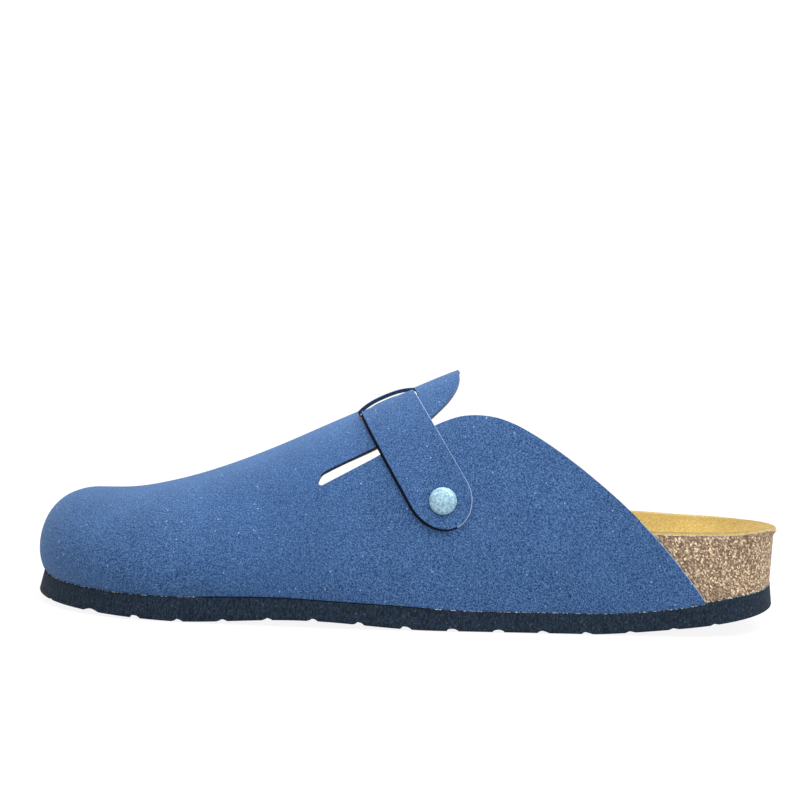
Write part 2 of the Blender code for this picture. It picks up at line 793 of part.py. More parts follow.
def build_upper(parts, hole_cutter):
    """Suede upper: vamp, tongue and both quarters in one wall."""
    sheet = Sheet()
    sheet.patch(vamp_patch())
    sheet.patch(quarter_patch(LATERAL))
    grid, in_slot = tongue_grid()
    sheet.patch(grid, in_slot)
    sheet.patch(quarter_patch(MEDIAL)[:, ::-1])
    finish = material("upper_suede", SUEDE_BLUE, 0.95)
    upper = mesh_object("upper", sheet.points, sheet.faces, finish, parts)
    thicken(upper, WALL, -1.0)
    cut(upper, hole_cutter)


@lru_cache(maxsize=None)
def strap_line():
    """Turns along the strap's middle line and the distance of each from the ridge."""
    turns = np.linspace(-0.9, 0.9, 361)
    along = np.array([leaning(STRAP_RIDGE_ALONG, STRAP_LEAN, lambda s: turn + 0.0 * s)
                      for turn in turns])
    line = upper_point(along, turns)
    steps = np.linalg.norm(np.diff(line, axis=0), axis=1)
    travel = np.concatenate([[0.0], np.cumsum(steps)])
    return turns, travel - np.interp(0.0, turns, travel)


def strap_place(travel, across_strap):
    """Distance along and turn of a point on the strap."""
    turns, travels = strap_line()
    turn = float(np.interp(travel, travels, turns))
    station = ridge_station(across_strap)
    return leaning(station, STRAP_LEAN, lambda s: turn + 0.0 * s), turn


def strap_lift(along, turn, across_strap):
    """Height of the strap's underside off the upper: above it, but below the bridge."""
    under = bridge_rise(across_strap) - WALL - BRIDGE_GAP - STRAP_THICKNESS
    edge = tongue_turn(np.minimum(along, TONGUE_ROUND_START), tongue_side(turn))
    share = np.abs(turn) / edge
    over = ramp(share, BRIDGE_SHARE + 0.05, SLOT_SHARE - 0.02)
    return under + (MEETING_GAP - under) * over


def strap_skew(travel):
    """Slant that squares the strap's rows to its length."""
    share = abs(travel) / STRAP_SKEW_REACH
    return math.copysign(STRAP_SKEW * share ** STRAP_SKEW_POWER, travel)


def strap_stations():
    """Distances from the ridge, lateral end first, with the half width at each."""
    radius = STRAP_WIDTH / 2.0
    angles = np.linspace(0.0, math.pi / 2.0, 7)[:-1]
    angles = angles + STRAP_END_BLUNT * (1.0 - angles * 2.0 / math.pi)
    straight_end = STRAP_TO_RIVET - STRAP_END_BACK
    end = straight_end + STRAP_END_REACH * np.cos(angles)
    half = radius * np.sin(angles)
    straight = np.concatenate([np.linspace(straight_end, 20.0, 9), np.linspace(16.0, 0.0, 9)])
    lateral = np.concatenate([-end, -straight])
    halves = np.concatenate([half, np.full(len(straight), radius)])
    return np.concatenate([lateral, -lateral[-2::-1]]), np.concatenate([halves, halves[-2::-1]])


def build_strap(parts, hole_cutter):
    """Instep band, threaded under the bridge of the tongue."""
    grid = []
    for travel, half in zip(*strap_stations()):
        row = []
        for across in np.linspace(-half, half, STRAP_COLUMNS + 1):
            along, turn = strap_place(travel - strap_skew(travel) * across, across)
            lift = strap_lift(along, turn, across)
            row.append(upper_point(along, turn) + upper_normal(along, turn) * lift)
        grid.append(row)
    sheet = Sheet()
    sheet.patch(np.array(grid))
    finish = material("strap_suede", SUEDE_BLUE, 0.95)
    strap = mesh_object("strap", sheet.points, sheet.faces, finish, parts)
    strap_faces_out(strap)
    thicken(strap, STRAP_THICKNESS, 1.0)
    cut(strap, hole_cutter)


def strap_faces_out(strap):
    """Turn the strap's open surface so that it faces up at the ridge."""
    highest = max(strap.data.polygons, key=lambda face: face.center.z)
    if highest.normal.z < 0.0:
        strap.data.flip_normals()


def rivet_place():
    """Point on the upper's outer face at the rivet, and the direction it points."""
    along, turn = strap_place(-STRAP_TO_RIVET, 0.0)
    return Vector(upper_point(along, turn) * MM), Vector(upper_normal(along, turn))


def rivet_cutter(collection):
    """Round hole for the shank, through strap and quarter."""
    work = bmesh.new()
    bmesh.ops.create_cone(work, cap_ends=True, segments=RIVET_STEPS,
                          radius1=SHANK_HOLE_RADIUS * MM, radius2=SHANK_HOLE_RADIUS * MM,
                          depth=14.0 * MM)
    mesh = bpy.data.meshes.new("rivet_hole_cutter")
    work.to_mesh(mesh)
    work.free()
    cutter = bpy.data.objects.new("rivet_hole_cutter", mesh)
    collection.objects.link(cutter)
    place, normal = rivet_place()
    cutter.location = place
    cutter.rotation_euler = normal.to_track_quat("Z", "Y").to_euler()
    return hide_cutter(cutter)


def build_rivet(parts):
    """Domed cap, shank and back plate, turned in one."""
    under_cap = MEETING_GAP + STRAP_THICKNESS + MEETING_GAP
    back_top = -WALL - BACK_PLATE_GAP
    dome = [(CAP_RADIUS * math.sin(angle), under_cap + CAP_EDGE + CAP_DOME * math.cos(angle))
            for angle in np.linspace(0.0, math.pi / 2.0, 7)]
    profile = dome + [
        (CAP_RADIUS, under_cap),
        (SHANK_RADIUS, under_cap),
        (SHANK_RADIUS, back_top),
        (BACK_PLATE_RADIUS, back_top),
        (BACK_PLATE_RADIUS, back_top - BACK_PLATE_THICKNESS),
        (0.0, back_top - BACK_PLATE_THICKNESS),
    ]
    mesh = bpy.data.meshes.new("strap_rivet")
    points = [(radius * MM, 0.0, height * MM) for radius, height in profile]
    mesh.from_pydata(points, [(k, k + 1) for k in range(len(points) - 1)], [])
    mesh.materials.append(material("antique_nickel", NICKEL, 0.45, 1.0))
    rivet = bpy.data.objects.new("strap_rivet", mesh)
    parts.objects.link(rivet)
    turned = rivet.modifiers.new("turned", "SCREW")
    turned.axis = "Z"
    turned.steps = RIVET_STEPS
    turned.render_steps = RIVET_STEPS
    turned.use_merge_vertices = True
    turned.merge_threshold = 0.00001
    place, normal = rivet_place()
    rivet.location = place
    rivet.rotation_euler = normal.to_track_quat("Z", "Y").to_euler()


def new_collection(name):
    """Collection linked to the scene."""
    collection = bpy.data.collections.new(name)
    bpy.context.scene.collection.children.link(collection)
    return collection


def main():
    """Build the shoe, piece by piece, from the floor up."""
    for thing in list(bpy.data.objects):
        bpy.data.objects.remove(thing)
    parts = new_collection("clog_mule")
    cutters = new_collection("cutters")
    build_outsole(parts, cutters)
    build_bed(parts)
    hole_cutter = rivet_cutter(cutters)
    build_upper(parts, hole_cutter)
    build_strap(parts, hole_cutter)
    build_rivet(parts)


main()
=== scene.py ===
"""Looks of a blue suede clog mule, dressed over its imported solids.

Sizes are in millimetres in the shoe's own frame: X runs along the shoe with the toe at -X, the
outer side of the foot faces -Y, Z is up, and "along" is the distance from the tip of the toe.
"""

import logging
import math
from dataclasses import dataclass, field
from enum import Enum
from functools import cached_property
from typing import Callable, Optional, Sequence, Union

import bmesh
import bpy
import numpy as np
from mathutils import Matrix, Vector


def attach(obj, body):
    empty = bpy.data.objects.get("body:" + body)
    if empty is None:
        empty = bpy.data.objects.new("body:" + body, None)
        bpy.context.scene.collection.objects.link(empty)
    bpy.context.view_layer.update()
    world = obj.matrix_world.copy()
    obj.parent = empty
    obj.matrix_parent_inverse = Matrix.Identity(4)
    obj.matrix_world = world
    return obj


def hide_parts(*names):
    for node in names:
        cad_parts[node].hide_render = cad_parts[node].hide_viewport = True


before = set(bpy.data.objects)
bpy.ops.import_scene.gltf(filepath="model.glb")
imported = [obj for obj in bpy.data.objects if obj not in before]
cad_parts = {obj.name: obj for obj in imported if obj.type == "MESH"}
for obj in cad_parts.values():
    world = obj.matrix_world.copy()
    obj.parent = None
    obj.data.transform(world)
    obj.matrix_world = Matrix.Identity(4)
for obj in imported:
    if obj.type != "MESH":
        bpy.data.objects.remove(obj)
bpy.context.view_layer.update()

Array = np.ndarray
Number = Union[float, Array]
Colour = tuple[float, float, float]
Socket = bpy.types.NodeSocket

MM = 0.001
TINY = 1e-6
BODY = "root"

LOG = logging.getLogger("clog_mule")


class Side(Enum):
    """Side of the foot; the value is the sign of Y there."""

    LATERAL = -1.0
    MEDIAL = 1.0


class Slot(Enum):
    """Material slots of the record."""

    SOLE = "sole_foam"
    CORK = "cork"
    INSOLE = "insole_suede"
    UPPER = "upper_suede"
    STRAP = "strap_suede"
    NICKEL = "antique_nickel"


class UpperFace(Enum):
    """Slots of the upper's finishes that are chosen face by face."""

    EDGE = 2
    # navy painted shade on the cut edges of the bridge and of the slit's upper lip
    DARK_EDGE = 3
    # painted highlight on the quarter's top edge towards the heel
    PALE_STRIP = 4


class StrapFace(Enum):
    """Slots of the strap's finishes."""

    NAP = 0
    # toe-side cut edge: near-black painted shadow
    TOE_EDGE = 1
    # heel-side cut edge: pale painted highlight
    HEEL_EDGE = 2
    UNDERSIDE = 3


class InsoleFace(Enum):
    """Slots of the finishes at the insole's edge."""

    EDGE = 1
    # the crease beside the edge carries painted shade, darker than the insole
    CREASE = 2


class Curve:
    """Natural cubic through one column of a table."""

    def __init__(self, knots: Sequence[float], values: Sequence[float]) -> None:
        """Solve for the bends at the knots.

        Args:
            knots: Distances along, rising.
            values: The column's value at each knot.
        """
        self.knots = np.asarray(knots, float)
        self.values = np.asarray(values, float)
        steps = np.diff(self.knots)
        slopes = np.diff(self.values) / steps
        system = np.eye(len(self.knots))
        bends = np.zeros(len(self.knots))
        for k in range(1, len(self.knots) - 1):
            system[k, k - 1:k + 2] = steps[k - 1], 2.0 * (steps[k - 1] + steps[k]), steps[k]
            bends[k] = 6.0 * (slopes[k] - slopes[k - 1])
        self.bends = np.linalg.solve(system, bends)

    def __call__(self, along: Number) -> Array:
        """Value at any distance along.

        Args:
            along: Distance or distances from the toe.

        Returns:
            The curve's value there, held level beyond its ends.
        """
        along = np.clip(along, self.knots[0], self.knots[-1])
        k = np.clip(np.searchsorted(self.knots, along) - 1, 0, len(self.knots) - 2)
        step = self.knots[k + 1] - self.knots[k]
        after = (along - self.knots[k]) / step
        before = 1.0 - after
        bow = ((before ** 3 - before) * self.bends[k]
               + (after ** 3 - after) * self.bends[k + 1]) * step ** 2 / 6.0
        return before * self.values[k] + after * self.values[k + 1] + bow


def ramp(value: Number, start: float, end: float) -> Array:
    """Smooth step from 0 at start to 1 at end.

    Args:
        value: Where to look.
        start: Where the step leaves 0.
        end: Where it reaches 1.

    Returns:
        The step's height.
    """
    t = np.clip((value - start) / (end - start), 0.0, 1.0)
    return t * t * (3.0 - 2.0 * t)


def rounding(t: Number, power: float, root: Optional[float] = None) -> Array:
    """Quarter of a superellipse: 0 at t = 0, level with 1 from t = 1 on.

    Args:
        t: Share of the way to the level part.
        power: Fullness of the round.
        root: Fullness at its steep end, if that differs.

    Returns:
        Height of the round.
    """
    inside = np.clip(1.0 - np.clip(t, 0.0, 1.0), 0.0, 1.0)
    return (1.0 - inside ** power) ** (1.0 / (root or power))


def unit(vectors: Array) -> Array:
    """Vectors brought to a length of 1."""
    return vectors / np.maximum(np.linalg.norm(vectors, axis=-1, keepdims=True), TINY)


def walked(points: Array) -> Array:
    """Distance walked along a row of points, from 0 at the first."""
    steps = np.linalg.norm(np.diff(points, axis=0), axis=1)
    return np.concatenate([[0.0], np.cumsum(steps)])


def crowded(steps: int) -> Array:
    """Shares from 0 to 1, close together at both ends."""
    return (1.0 - np.cos(np.linspace(0.0, math.pi, steps + 1))) / 2.0


@dataclass(frozen=True)
class SoleForm:
    """Outline and heights of the sole on which every other piece stands."""

    length: float = 275.0
    middle: float = 137.84
    gap: float = 0.3
    toe_spring: float = 2.4
    toe_spring_start: float = 62.0
    toe_spring_power: float = 1.3
    heel_spring: float = 8.3
    heel_spring_start: float = 204.0
    heel_spring_power: float = 1.35
    arch_rise: float = 2.1
    arch_start: float = 58.0
    arch_end: float = 150.0
    toe_tip_side: float = 6.0
    heel_tip_side: float = -4.4
    lateral_toe_round: float = 57.0
    medial_toe_round: float = 48.0
    heel_round: float = 38.0
    round_power: float = 2.2
    plan: tuple[tuple[float, float, float], ...] = (
        (0.0, 45.0, 44.5), (30.0, 46.0, 46.6), (60.0, 47.6, 48.2), (88.0, 48.4, 48.5),
        (112.0, 48.6, 45.4), (140.0, 47.4, 39.8), (170.0, 45.0, 34.8), (200.0, 42.6, 32.4),
        (235.0, 40.6, 31.8), (275.0, 39.4, 31.4))
    thicknesses: tuple[tuple[float, float], ...] = (
        (0.0, 7.6), (20.0, 7.4), (36.0, 7.5), (48.0, 7.7), (66.0, 8.3), (84.0, 9.0),
        (98.0, 9.2), (113.0, 8.7), (138.0, 7.7), (152.0, 6.9), (170.0, 6.6), (205.0, 6.7),
        (232.0, 6.7), (252.0, 7.8), (275.0, 8.0))

    @cached_property
    def half_widths(self) -> dict[Side, Curve]:
        """Half width of the sole on each side."""
        along, lateral, medial = zip(*self.plan)
        return {Side.LATERAL: Curve(along, lateral), Side.MEDIAL: Curve(along, medial)}

    @cached_property
    def thickness(self) -> Curve:
        """Thickness of the outsole."""
        return Curve(*zip(*self.thicknesses))

    def ground(self, along: Number) -> Array:
        """Height of the tread: toe spring, level middle, rolled heel."""
        toe = np.clip((self.toe_spring_start - along) / self.toe_spring_start, 0.0, None)
        heel = np.clip((along - self.heel_spring_start)
                       / (self.length - self.heel_spring_start), 0.0, None)
        return (self.toe_spring * toe ** self.toe_spring_power
                + self.heel_spring * heel ** self.heel_spring_power)

    def height(self, along: Number, share: float) -> Array:
        """Height in the outsole.

        Args:
            along: Distance from the toe.
            share: Share of the way up from the tread face, which rises at the arch.

        Returns:
            Height over the floor.
        """
        t = np.clip((along - self.arch_start) / (self.arch_end - self.arch_start), 0.0, 1.0)
        arch = self.arch_rise * np.sin(math.pi * t) ** 2
        return self.ground(along) + self.thickness(along) * share + arch * (1.0 - share)

    def feather(self, along: Number) -> Array:
        """Height of the line where the upper stands on the outsole."""
        return self.height(along, 1.0) + self.gap

    def edge(self, along: Number, side: Side, toe: float, beside: float, heel: float) -> Array:
        """Y of an outline that is set back from the sole's own.

        Args:
            along: Distance from the toe.
            side: Side of the foot.
            toe: Setback at the toe.
            beside: Setback at the sides.
            heel: Setback at the heel.

        Returns:
            Y of the outline.
        """
        toe_round = self.lateral_toe_round if side is Side.LATERAL else self.medial_toe_round
        share = (rounding((along - toe) / toe_round, self.round_power)
                 * rounding((self.length - heel - along) / self.heel_round, self.round_power))
        tip = np.where(along < self.length / 2.0, self.toe_tip_side, self.heel_tip_side)
        outer = side.value * (self.half_widths[side](along) - beside)
        return tip + (outer - tip) * share

    def place(self, along: Number, y: Number, height: Number) -> Array:
        """Points of the shoe's frame as rows of X, Y, Z."""
        along, y, height = np.broadcast_arrays(along, y, height)
        return np.stack([along - self.middle, y, height], axis=-1).astype(float)


@dataclass(frozen=True)
class UpperForm:
    """Outer face of the upper, as a surface over distance along and turn.

    A turn runs from -1 at the lateral lower edge over 0 on the ridge to 1.
    """

    sole: SoleForm = field(default_factory=SoleForm)
    wall: float = 1.3
    feather_toe: float = 3.1
    feather_side: float = 1.6
    feather_heel: float = 4.0
    toe_crown: float = 17.0
    toe_crown_powers: tuple[float, float] = (2.6, 3.5)
    bulge_height: float = 30.0
    bulge_power: float = 0.7
    slit_start: float = 106.7
    slit_height: float = 4.8
    slit_rear_height: float = 3.6
    slit_rear: float = 128.85
    slit_round: float = 2.2
    medial_drop: float = 3.1
    medial_ahead: float = 4.9
    ahead_turn: float = 0.4
    tongue_round_start: float = 145.0
    tongue_tip: float = 155.8
    tongue_round_powers: tuple[float, float] = (1.0, 4.5)
    tongue_tip_share: float = 0.12
    quarter_end: float = 242.7
    outward_step: float = 0.02
    normal_step: float = 0.2
    normal_turn: float = 0.004
    lean_reach: float = 60.0
    lean_halvings: int = 40
    sections: tuple[tuple[float, ...], ...] = (
        (0.0, 39.5, 6.0, 2.7, 2.3, 2.9), (20.0, 39.7, 5.5, 2.7, 2.3, 2.7),
        (33.0, 40.3, 5.0, 2.6, 2.25, 2.4), (44.0, 42.4, 4.7, 2.5, 2.2, 2.2),
        (56.0, 45.7, 4.3, 2.4, 2.15, 2.0), (67.0, 49.5, 4.0, 2.35, 2.1, 1.8),
        (89.0, 58.7, 3.2, 2.2, 2.05, 1.5), (112.0, 69.7, 2.5, 2.1, 2.0, 1.2),
        (130.0, 78.1, 2.0, 2.0, 2.0, 0.9), (150.0, 87.5, 1.5, 2.0, 2.0, 0.7),
        (175.0, 96.5, 1.0, 2.0, 2.0, 0.5), (210.0, 101.5, 0.0, 2.0, 2.0, 0.4),
        (275.0, 103.0, -2.0, 2.0, 2.0, 0.4))
    quarter_edge: tuple[tuple[float, float], ...] = (
        (101.0, 42.5), (106.7, 45.9), (128.2, 58.6), (147.7, 69.7), (156.4, 73.0),
        (162.0, 73.6), (171.5, 72.3), (182.0, 67.5), (203.1, 53.1), (222.6, 35.9),
        (234.4, 22.8), (244.6, 9.9))

    @cached_property
    def columns(self) -> dict[str, Curve]:
        """Curves of the last's sections by name."""
        along, *rest = zip(*self.sections)
        names = ("ridge", "spine", "across", "up", "bulge")
        return {name: Curve(along, values) for name, values in zip(names, rest)}

    @cached_property
    def collar(self) -> Curve:
        """Height of the lateral quarter's top edge."""
        return Curve(*zip(*self.quarter_edge))

    def lower_edge(self, along: Number, side: Side) -> Array:
        """Y of the upper's lower edge."""
        return self.sole.edge(along, side, self.feather_toe, self.feather_side,
                              self.feather_heel)

    def outward(self, along: Number, side: Side) -> tuple[Array, Array]:
        """Outward direction of the lower edge.

        Args:
            along: Distance from the toe.
            side: Side of the foot.

        Returns:
            X and Y of the direction, straight ahead at the toe.
        """
        root = np.sqrt(np.clip(along - self.feather_toe, 0.0, None))
        ahead = np.clip(root - self.outward_step, 0.0, None)
        behind = root + self.outward_step
        run = behind ** 2 - ahead ** 2
        rise = (self.lower_edge(self.feather_toe + behind ** 2, side)
                - self.lower_edge(self.feather_toe + ahead ** 2, side))
        reach = np.hypot(run, rise)
        forward = np.where(along < self.sole.length / 3.0, 1.0, 0.0)
        return -np.abs(rise) / reach * forward, side.value * run / reach

    def ridge(self, along: Number) -> Array:
        """Height of the spine, rounded down to the sole at the toe."""
        rise = rounding((along - self.feather_toe) / self.toe_crown, *self.toe_crown_powers)
        low = self.sole.feather(along)
        return low + (self.columns["ridge"](along) - low) * rise

    def height_at(self, along: Number, turn: Number) -> Array:
        """Height on a section at a turn."""
        lift = np.cos(np.clip(np.abs(turn), 0.0, 1.0) * math.pi / 2.0)
        share = np.clip(lift, 0.0, 1.0) ** (2.0 / self.columns["up"](along))
        low = self.sole.feather(along)
        return low + (self.ridge(along) - low) * share

    def turn_at(self, along: Number, height: Number) -> Array:
        """Turn, without its sign, at which a section reaches a height."""
        low = self.sole.feather(along)
        share = (height - low) / (self.ridge(along) - low)
        lift = np.clip(share, 0.0, 1.0) ** (self.columns["up"](along) / 2.0)
        return np.arccos(lift) * 2.0 / math.pi

    def point(self, along: Number, turn: Number) -> Array:
        """Point on the outer face.

        Args:
            along: Distance from the toe.
            turn: Turn round the section.

        Returns:
            Rows of X, Y, Z.
        """
        along, turn = np.broadcast_arrays(np.asarray(along, float), np.asarray(turn, float))
        height = self.height_at(along, turn)
        reach = np.sin(np.abs(turn) * math.pi / 2.0) ** (2.0 / self.columns["across"](along))
        spine = self.columns["spine"](along)
        above = np.clip((height - self.sole.feather(along)) / self.bulge_height, 0.0, 1.0)
        bulge = self.columns["bulge"](along) * np.sin(math.pi * above ** self.bulge_power)
        lateral, medial = (self.outward(along, side) for side in Side)
        on_lateral = turn < 0.0
        edge = np.where(on_lateral, self.lower_edge(along, Side.LATERAL),
                        self.lower_edge(along, Side.MEDIAL))
        x = along + bulge * np.where(on_lateral, lateral[0], medial[0])
        y = spine + (edge - spine) * reach + bulge * np.where(on_lateral, lateral[1], medial[1])
        return self.sole.place(x, y, height)

    def normal(self, along: Number, turn: Number) -> Array:
        """Outward unit normal of the outer face."""
        step, twist = self.normal_step, self.normal_turn
        lengthwise = self.point(along + step, turn) - self.point(along - step, turn)
        crosswise = self.point(along, turn + twist) - self.point(along, turn - twist)
        return unit(np.cross(lengthwise, crosswise))

    def ahead(self, side: Side) -> float:
        """How far a slit's front end lies ahead of the lateral one."""
        return self.medial_ahead if side is Side.MEDIAL else 0.0

    def row_ahead(self, turn: Number) -> Array:
        """How far a row of the vamp ends ahead of its lateral rows."""
        return self.medial_ahead * ramp(turn, -self.ahead_turn, self.ahead_turn)

    def slit_end(self, along: Number, side: Side) -> Array:
        """Rounding of a slit's front end, from 0 at the end to 1."""
        return rounding((along + self.ahead(side) - self.slit_start) / self.slit_round, 2.0)

    def quarter_height(self, along: Number, side: Side) -> Array:
        """Height of a quarter's top edge, which is lower on the inner side of the foot."""
        closing = 1.0 - self.slit_end(along, side)
        drop = self.medial_drop if side is Side.MEDIAL else 0.0
        return self.collar(along) + self.slit_height / 2.0 * closing - drop

    def tongue_turn(self, along: Number, side: Side) -> Array:
        """Turn of the tongue's free edge: upper lip of the slit, then the rounded tip."""
        before_tip = np.minimum(along, self.tongue_round_start)
        taper = ramp(before_tip, self.slit_start, self.slit_rear)
        opening = self.slit_height + (self.slit_rear_height - self.slit_height) * taper
        lip = self.quarter_height(before_tip, side) + opening * self.slit_end(before_tip, side)
        edge = self.turn_at(before_tip, lip)
        to_tip = (self.tongue_tip - along) / (self.tongue_tip - self.tongue_round_start)
        share = rounding(to_tip, *self.tongue_round_powers)
        return edge * (self.tongue_tip_share + (1.0 - self.tongue_tip_share) * share)

    def leaning(self, station: Number, lean: Number,
                turn_of: Callable[[Array], Array]) -> Array:
        """Where a plane that leans back from a ridge station meets a row.

        Args:
            station: Distance along at which the plane crosses the ridge.
            lean: Its lean, in radians.
            turn_of: The row's turn at any distance along.

        Returns:
            Distance along of the crossing.
        """
        shape = np.broadcast(station, turn_of(np.asarray(station, float))).shape
        low = np.broadcast_to(station, shape).astype(float)
        high = low + self.lean_reach
        top = self.ridge(station)
        for _ in range(self.lean_halvings):
            between = (low + high) / 2.0
            drop = top - self.height_at(between, turn_of(between))
            past = between - station > drop * np.tan(lean)
            high = np.where(past, between, high)
            low = np.where(past, low, between)
        return (low + high) / 2.0


@dataclass(frozen=True)
class StrapForm:
    """Instep band, and the bridge of the tongue that it passes under."""

    upper: UpperForm = field(default_factory=UpperForm)
    width: float = 21.8
    thickness: float = 1.7
    ridge_along: float = 128.85
    lean: float = math.radians(32.0)
    tilt_start: float = 116.0
    to_rivet: float = 63.2
    end_back: float = 2.5
    end_reach: float = 12.8
    skew: float = 0.43
    skew_reach: float = 73.0
    skew_power: float = 1.5
    bridge_share: float = 0.11
    slot_share: float = 0.46
    slot_margin: float = 0.6
    bridge_rise: float = 2.0
    bridge_power: float = 2.5
    bridge_gap: float = 0.75
    over_from: float = 0.05
    over_until: float = 0.02
    line_turn: float = 0.9
    line_steps: int = 361

    def ridge_station(self, across: Number) -> Number:
        """Ridge station of a line that lies this far across from the strap's middle."""
        upper = self.upper
        slope = (upper.ridge(self.ridge_along + 1.0) - upper.ridge(self.ridge_along - 1.0)) / 2.0
        return self.ridge_along + across / (math.cos(self.lean) + slope * math.sin(self.lean))

    def rise(self, across: Number) -> Array:
        """How far the bridge stands off the tongue, at a distance across the strap."""
        t = np.clip(np.abs(across) / (self.width / 2.0 + self.slot_margin), 0.0, 1.0)
        return self.bridge_rise * (1.0 - t ** self.bridge_power)

    @cached_property
    def line(self) -> tuple[Array, Array]:
        """Turns along the strap's middle line and the distance of each from the ridge."""
        turns = np.linspace(-self.line_turn, self.line_turn, self.line_steps)
        along = self.upper.leaning(np.full(len(turns), self.ridge_along), self.lean,
                                   lambda s: turns + 0.0 * s)
        travel = walked(self.upper.point(along, turns))
        return turns, travel - np.interp(0.0, turns, travel)

    def place(self, travel: float, across: Number) -> tuple[Array, Array]:
        """Spot on the upper under a point of the strap.

        Args:
            travel: Distance from the ridge, negative towards the lateral end.
            across: Distance or distances across from the middle line.

        Returns:
            Distance along and turn.
        """
        turns, travels = self.line
        across = np.asarray(across, float)
        skew = math.copysign(self.skew * (abs(travel) / self.skew_reach) ** self.skew_power,
                             travel)
        turn = np.interp(travel - skew * across, travels, turns)
        return self.upper.leaning(self.ridge_station(across), self.lean,
                                  lambda s: turn + 0.0 * s), turn

    def lift(self, along: Number, turn: Number, across: Number) -> Array:
        """Height of the strap's underside off the upper: over it, but under the bridge."""
        upper = self.upper
        under = self.rise(across) - upper.wall - self.bridge_gap - self.thickness
        edges = [upper.tongue_turn(np.minimum(along, upper.tongue_round_start), side)
                 for side in Side]
        edge = np.where(turn < 0.0, edges[0], edges[1])
        over = ramp(np.abs(turn) / edge, self.bridge_share + self.over_from,
                    self.slot_share - self.over_until)
        return under + (upper.sole.gap - under) * over

    def surface(self, travel: float, across: Number, above: float = 0.0) -> Array:
        """Points of the strap's underside, or of a layer above it.

        Args:
            travel: Distance from the ridge.
            across: Distances across from the middle line.
            above: Height over the underside.

        Returns:
            Rows of X, Y, Z.
        """
        along, turn = self.place(travel, across)
        lift = self.lift(along, turn, across) + above
        return (self.upper.point(along, turn)
                + self.upper.normal(along, turn) * np.asarray(lift)[..., None])


class Sheet:
    """Open or closed surface gathered from grids of points."""

    def __init__(self) -> None:
        """Start with nothing gathered."""
        self.points: list[Array] = []
        self.faces: list[tuple[int, ...]] = []
        self.slots: list[int] = []
        self.count = 0

    def patch(self, grid: Array, slot: int = 0, around: bool = False,
              is_open: Optional[Callable[[int, int], bool]] = None) -> None:
        """Add a grid of points.

        Args:
            grid: Points by station and row.
            slot: Index of the material for the patch.
            around: Whether the last row joins the first.
            is_open: Says which cells are left open.
        """
        stations, rows = grid.shape[:2]
        first = self.count
        self.points.append(grid.reshape(-1, 3))
        self.count += stations * rows
        for i in range(stations - 1):
            for j in range(rows if around else rows - 1):
                if is_open and is_open(i, j):
                    continue
                a, b = first + i * rows + j, first + i * rows + (j + 1) % rows
                self.faces.append((a, b, b + rows, a + rows))
                self.slots.append(slot)

    def tube(self, line: Array, wide: Array, high: Array, size: Array, sides: int) -> None:
        """Add a round bar.

        Args:
            line: Points of its middle.
            wide: Sideways reach of its section at each point, for a size of 1.
            high: Upward reach of its section there.
            size: Size of its section there.
            sides: Number of its flat sides.
        """
        angles = np.linspace(0.0, 2.0 * math.pi, sides + 1)[:-1]
        ring = (wide[:, None] * np.cos(angles)[None, :, None]
                + high[:, None] * np.sin(angles)[None, :, None])
        self.patch(line[:, None] + ring * size[:, None, None], around=True)

    def piece(self, name: str, finishes: Sequence[bpy.types.Material],
              weld: float = 0.002) -> bpy.types.Object:
        """Make an object of what was gathered, welded and facing outwards.

        Args:
            name: Name of the object.
            finishes: Its materials in slot order.
            weld: Distance within which points become one.

        Returns:
            The new object, linked to the scene.
        """
        mesh = bpy.data.meshes.new(name)
        mesh.from_pydata((np.concatenate(self.points) * MM).tolist(), [], self.faces)
        mesh.polygons.foreach_set("material_index", self.slots)
        work = bmesh.new()
        work.from_mesh(mesh)
        bmesh.ops.remove_doubles(work, verts=work.verts, dist=weld * MM)
        bmesh.ops.dissolve_degenerate(work, edges=work.edges, dist=weld * MM)
        bmesh.ops.recalc_face_normals(work, faces=work.faces)
        highest = max(work.faces, key=lambda face: face.calc_center_median().z)
        if highest.normal.z < 0.0:
            bmesh.ops.reverse_faces(work, faces=work.faces)
        work.to_mesh(mesh)
        work.free()
        for finish in finishes:
            mesh.materials.append(finish)
        piece = bpy.data.objects.new(name, mesh)
        bpy.context.scene.collection.objects.link(piece)
        return piece


def settle(piece: bpy.types.Object, crease: float = 40.0) -> bpy.types.Object:
    """Apply a piece's modifiers and smooth it up to a crease angle.

    Args:
        piece: The object.
        crease: Angle in degrees from which an edge stays sharp.

    Returns:
        The same object.
    """
    bpy.context.view_layer.update()
    shaped = piece.evaluated_get(bpy.context.evaluated_depsgraph_get())
    mesh = bpy.data.meshes.new_from_object(shaped)
    piece.modifiers.clear()
    piece.data = mesh
    mesh.shade_smooth()
    mesh.set_sharp_from_angle(angle=math.radians(crease))
    return piece


def thicken(piece: bpy.types.Object, thickness: float, offset: float) -> None:
    """Give an open surface a wall with its own inner face and cut edge.

    Args:
        piece: Object whose slots follow as outer face, inner face, cut edge.
        thickness: Wall in millimetres.
        offset: -1 lays the wall inwards, 1 outwards.
    """
    wall = piece.modifiers.new("wall", "SOLIDIFY")
    wall.thickness = thickness * MM
    wall.offset = offset
    wall.use_even_offset = True
    wall.material_offset = 1
    wall.material_offset_rim = 2


def take(piece: bpy.types.Object, node: Optional[str] = None) -> bpy.types.Object:
    """Let a piece ride on the shoe, and stand for a node.

    Args:
        piece: The finished object.
        node: Solid that it replaces, if any.

    Returns:
        The same object.
    """
    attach(piece, BODY)
    if node:
        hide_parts(node)
    LOG.info("%s: %d faces%s", piece.name, len(piece.data.polygons),
             f", stands for {node}" if node else "")
    return piece


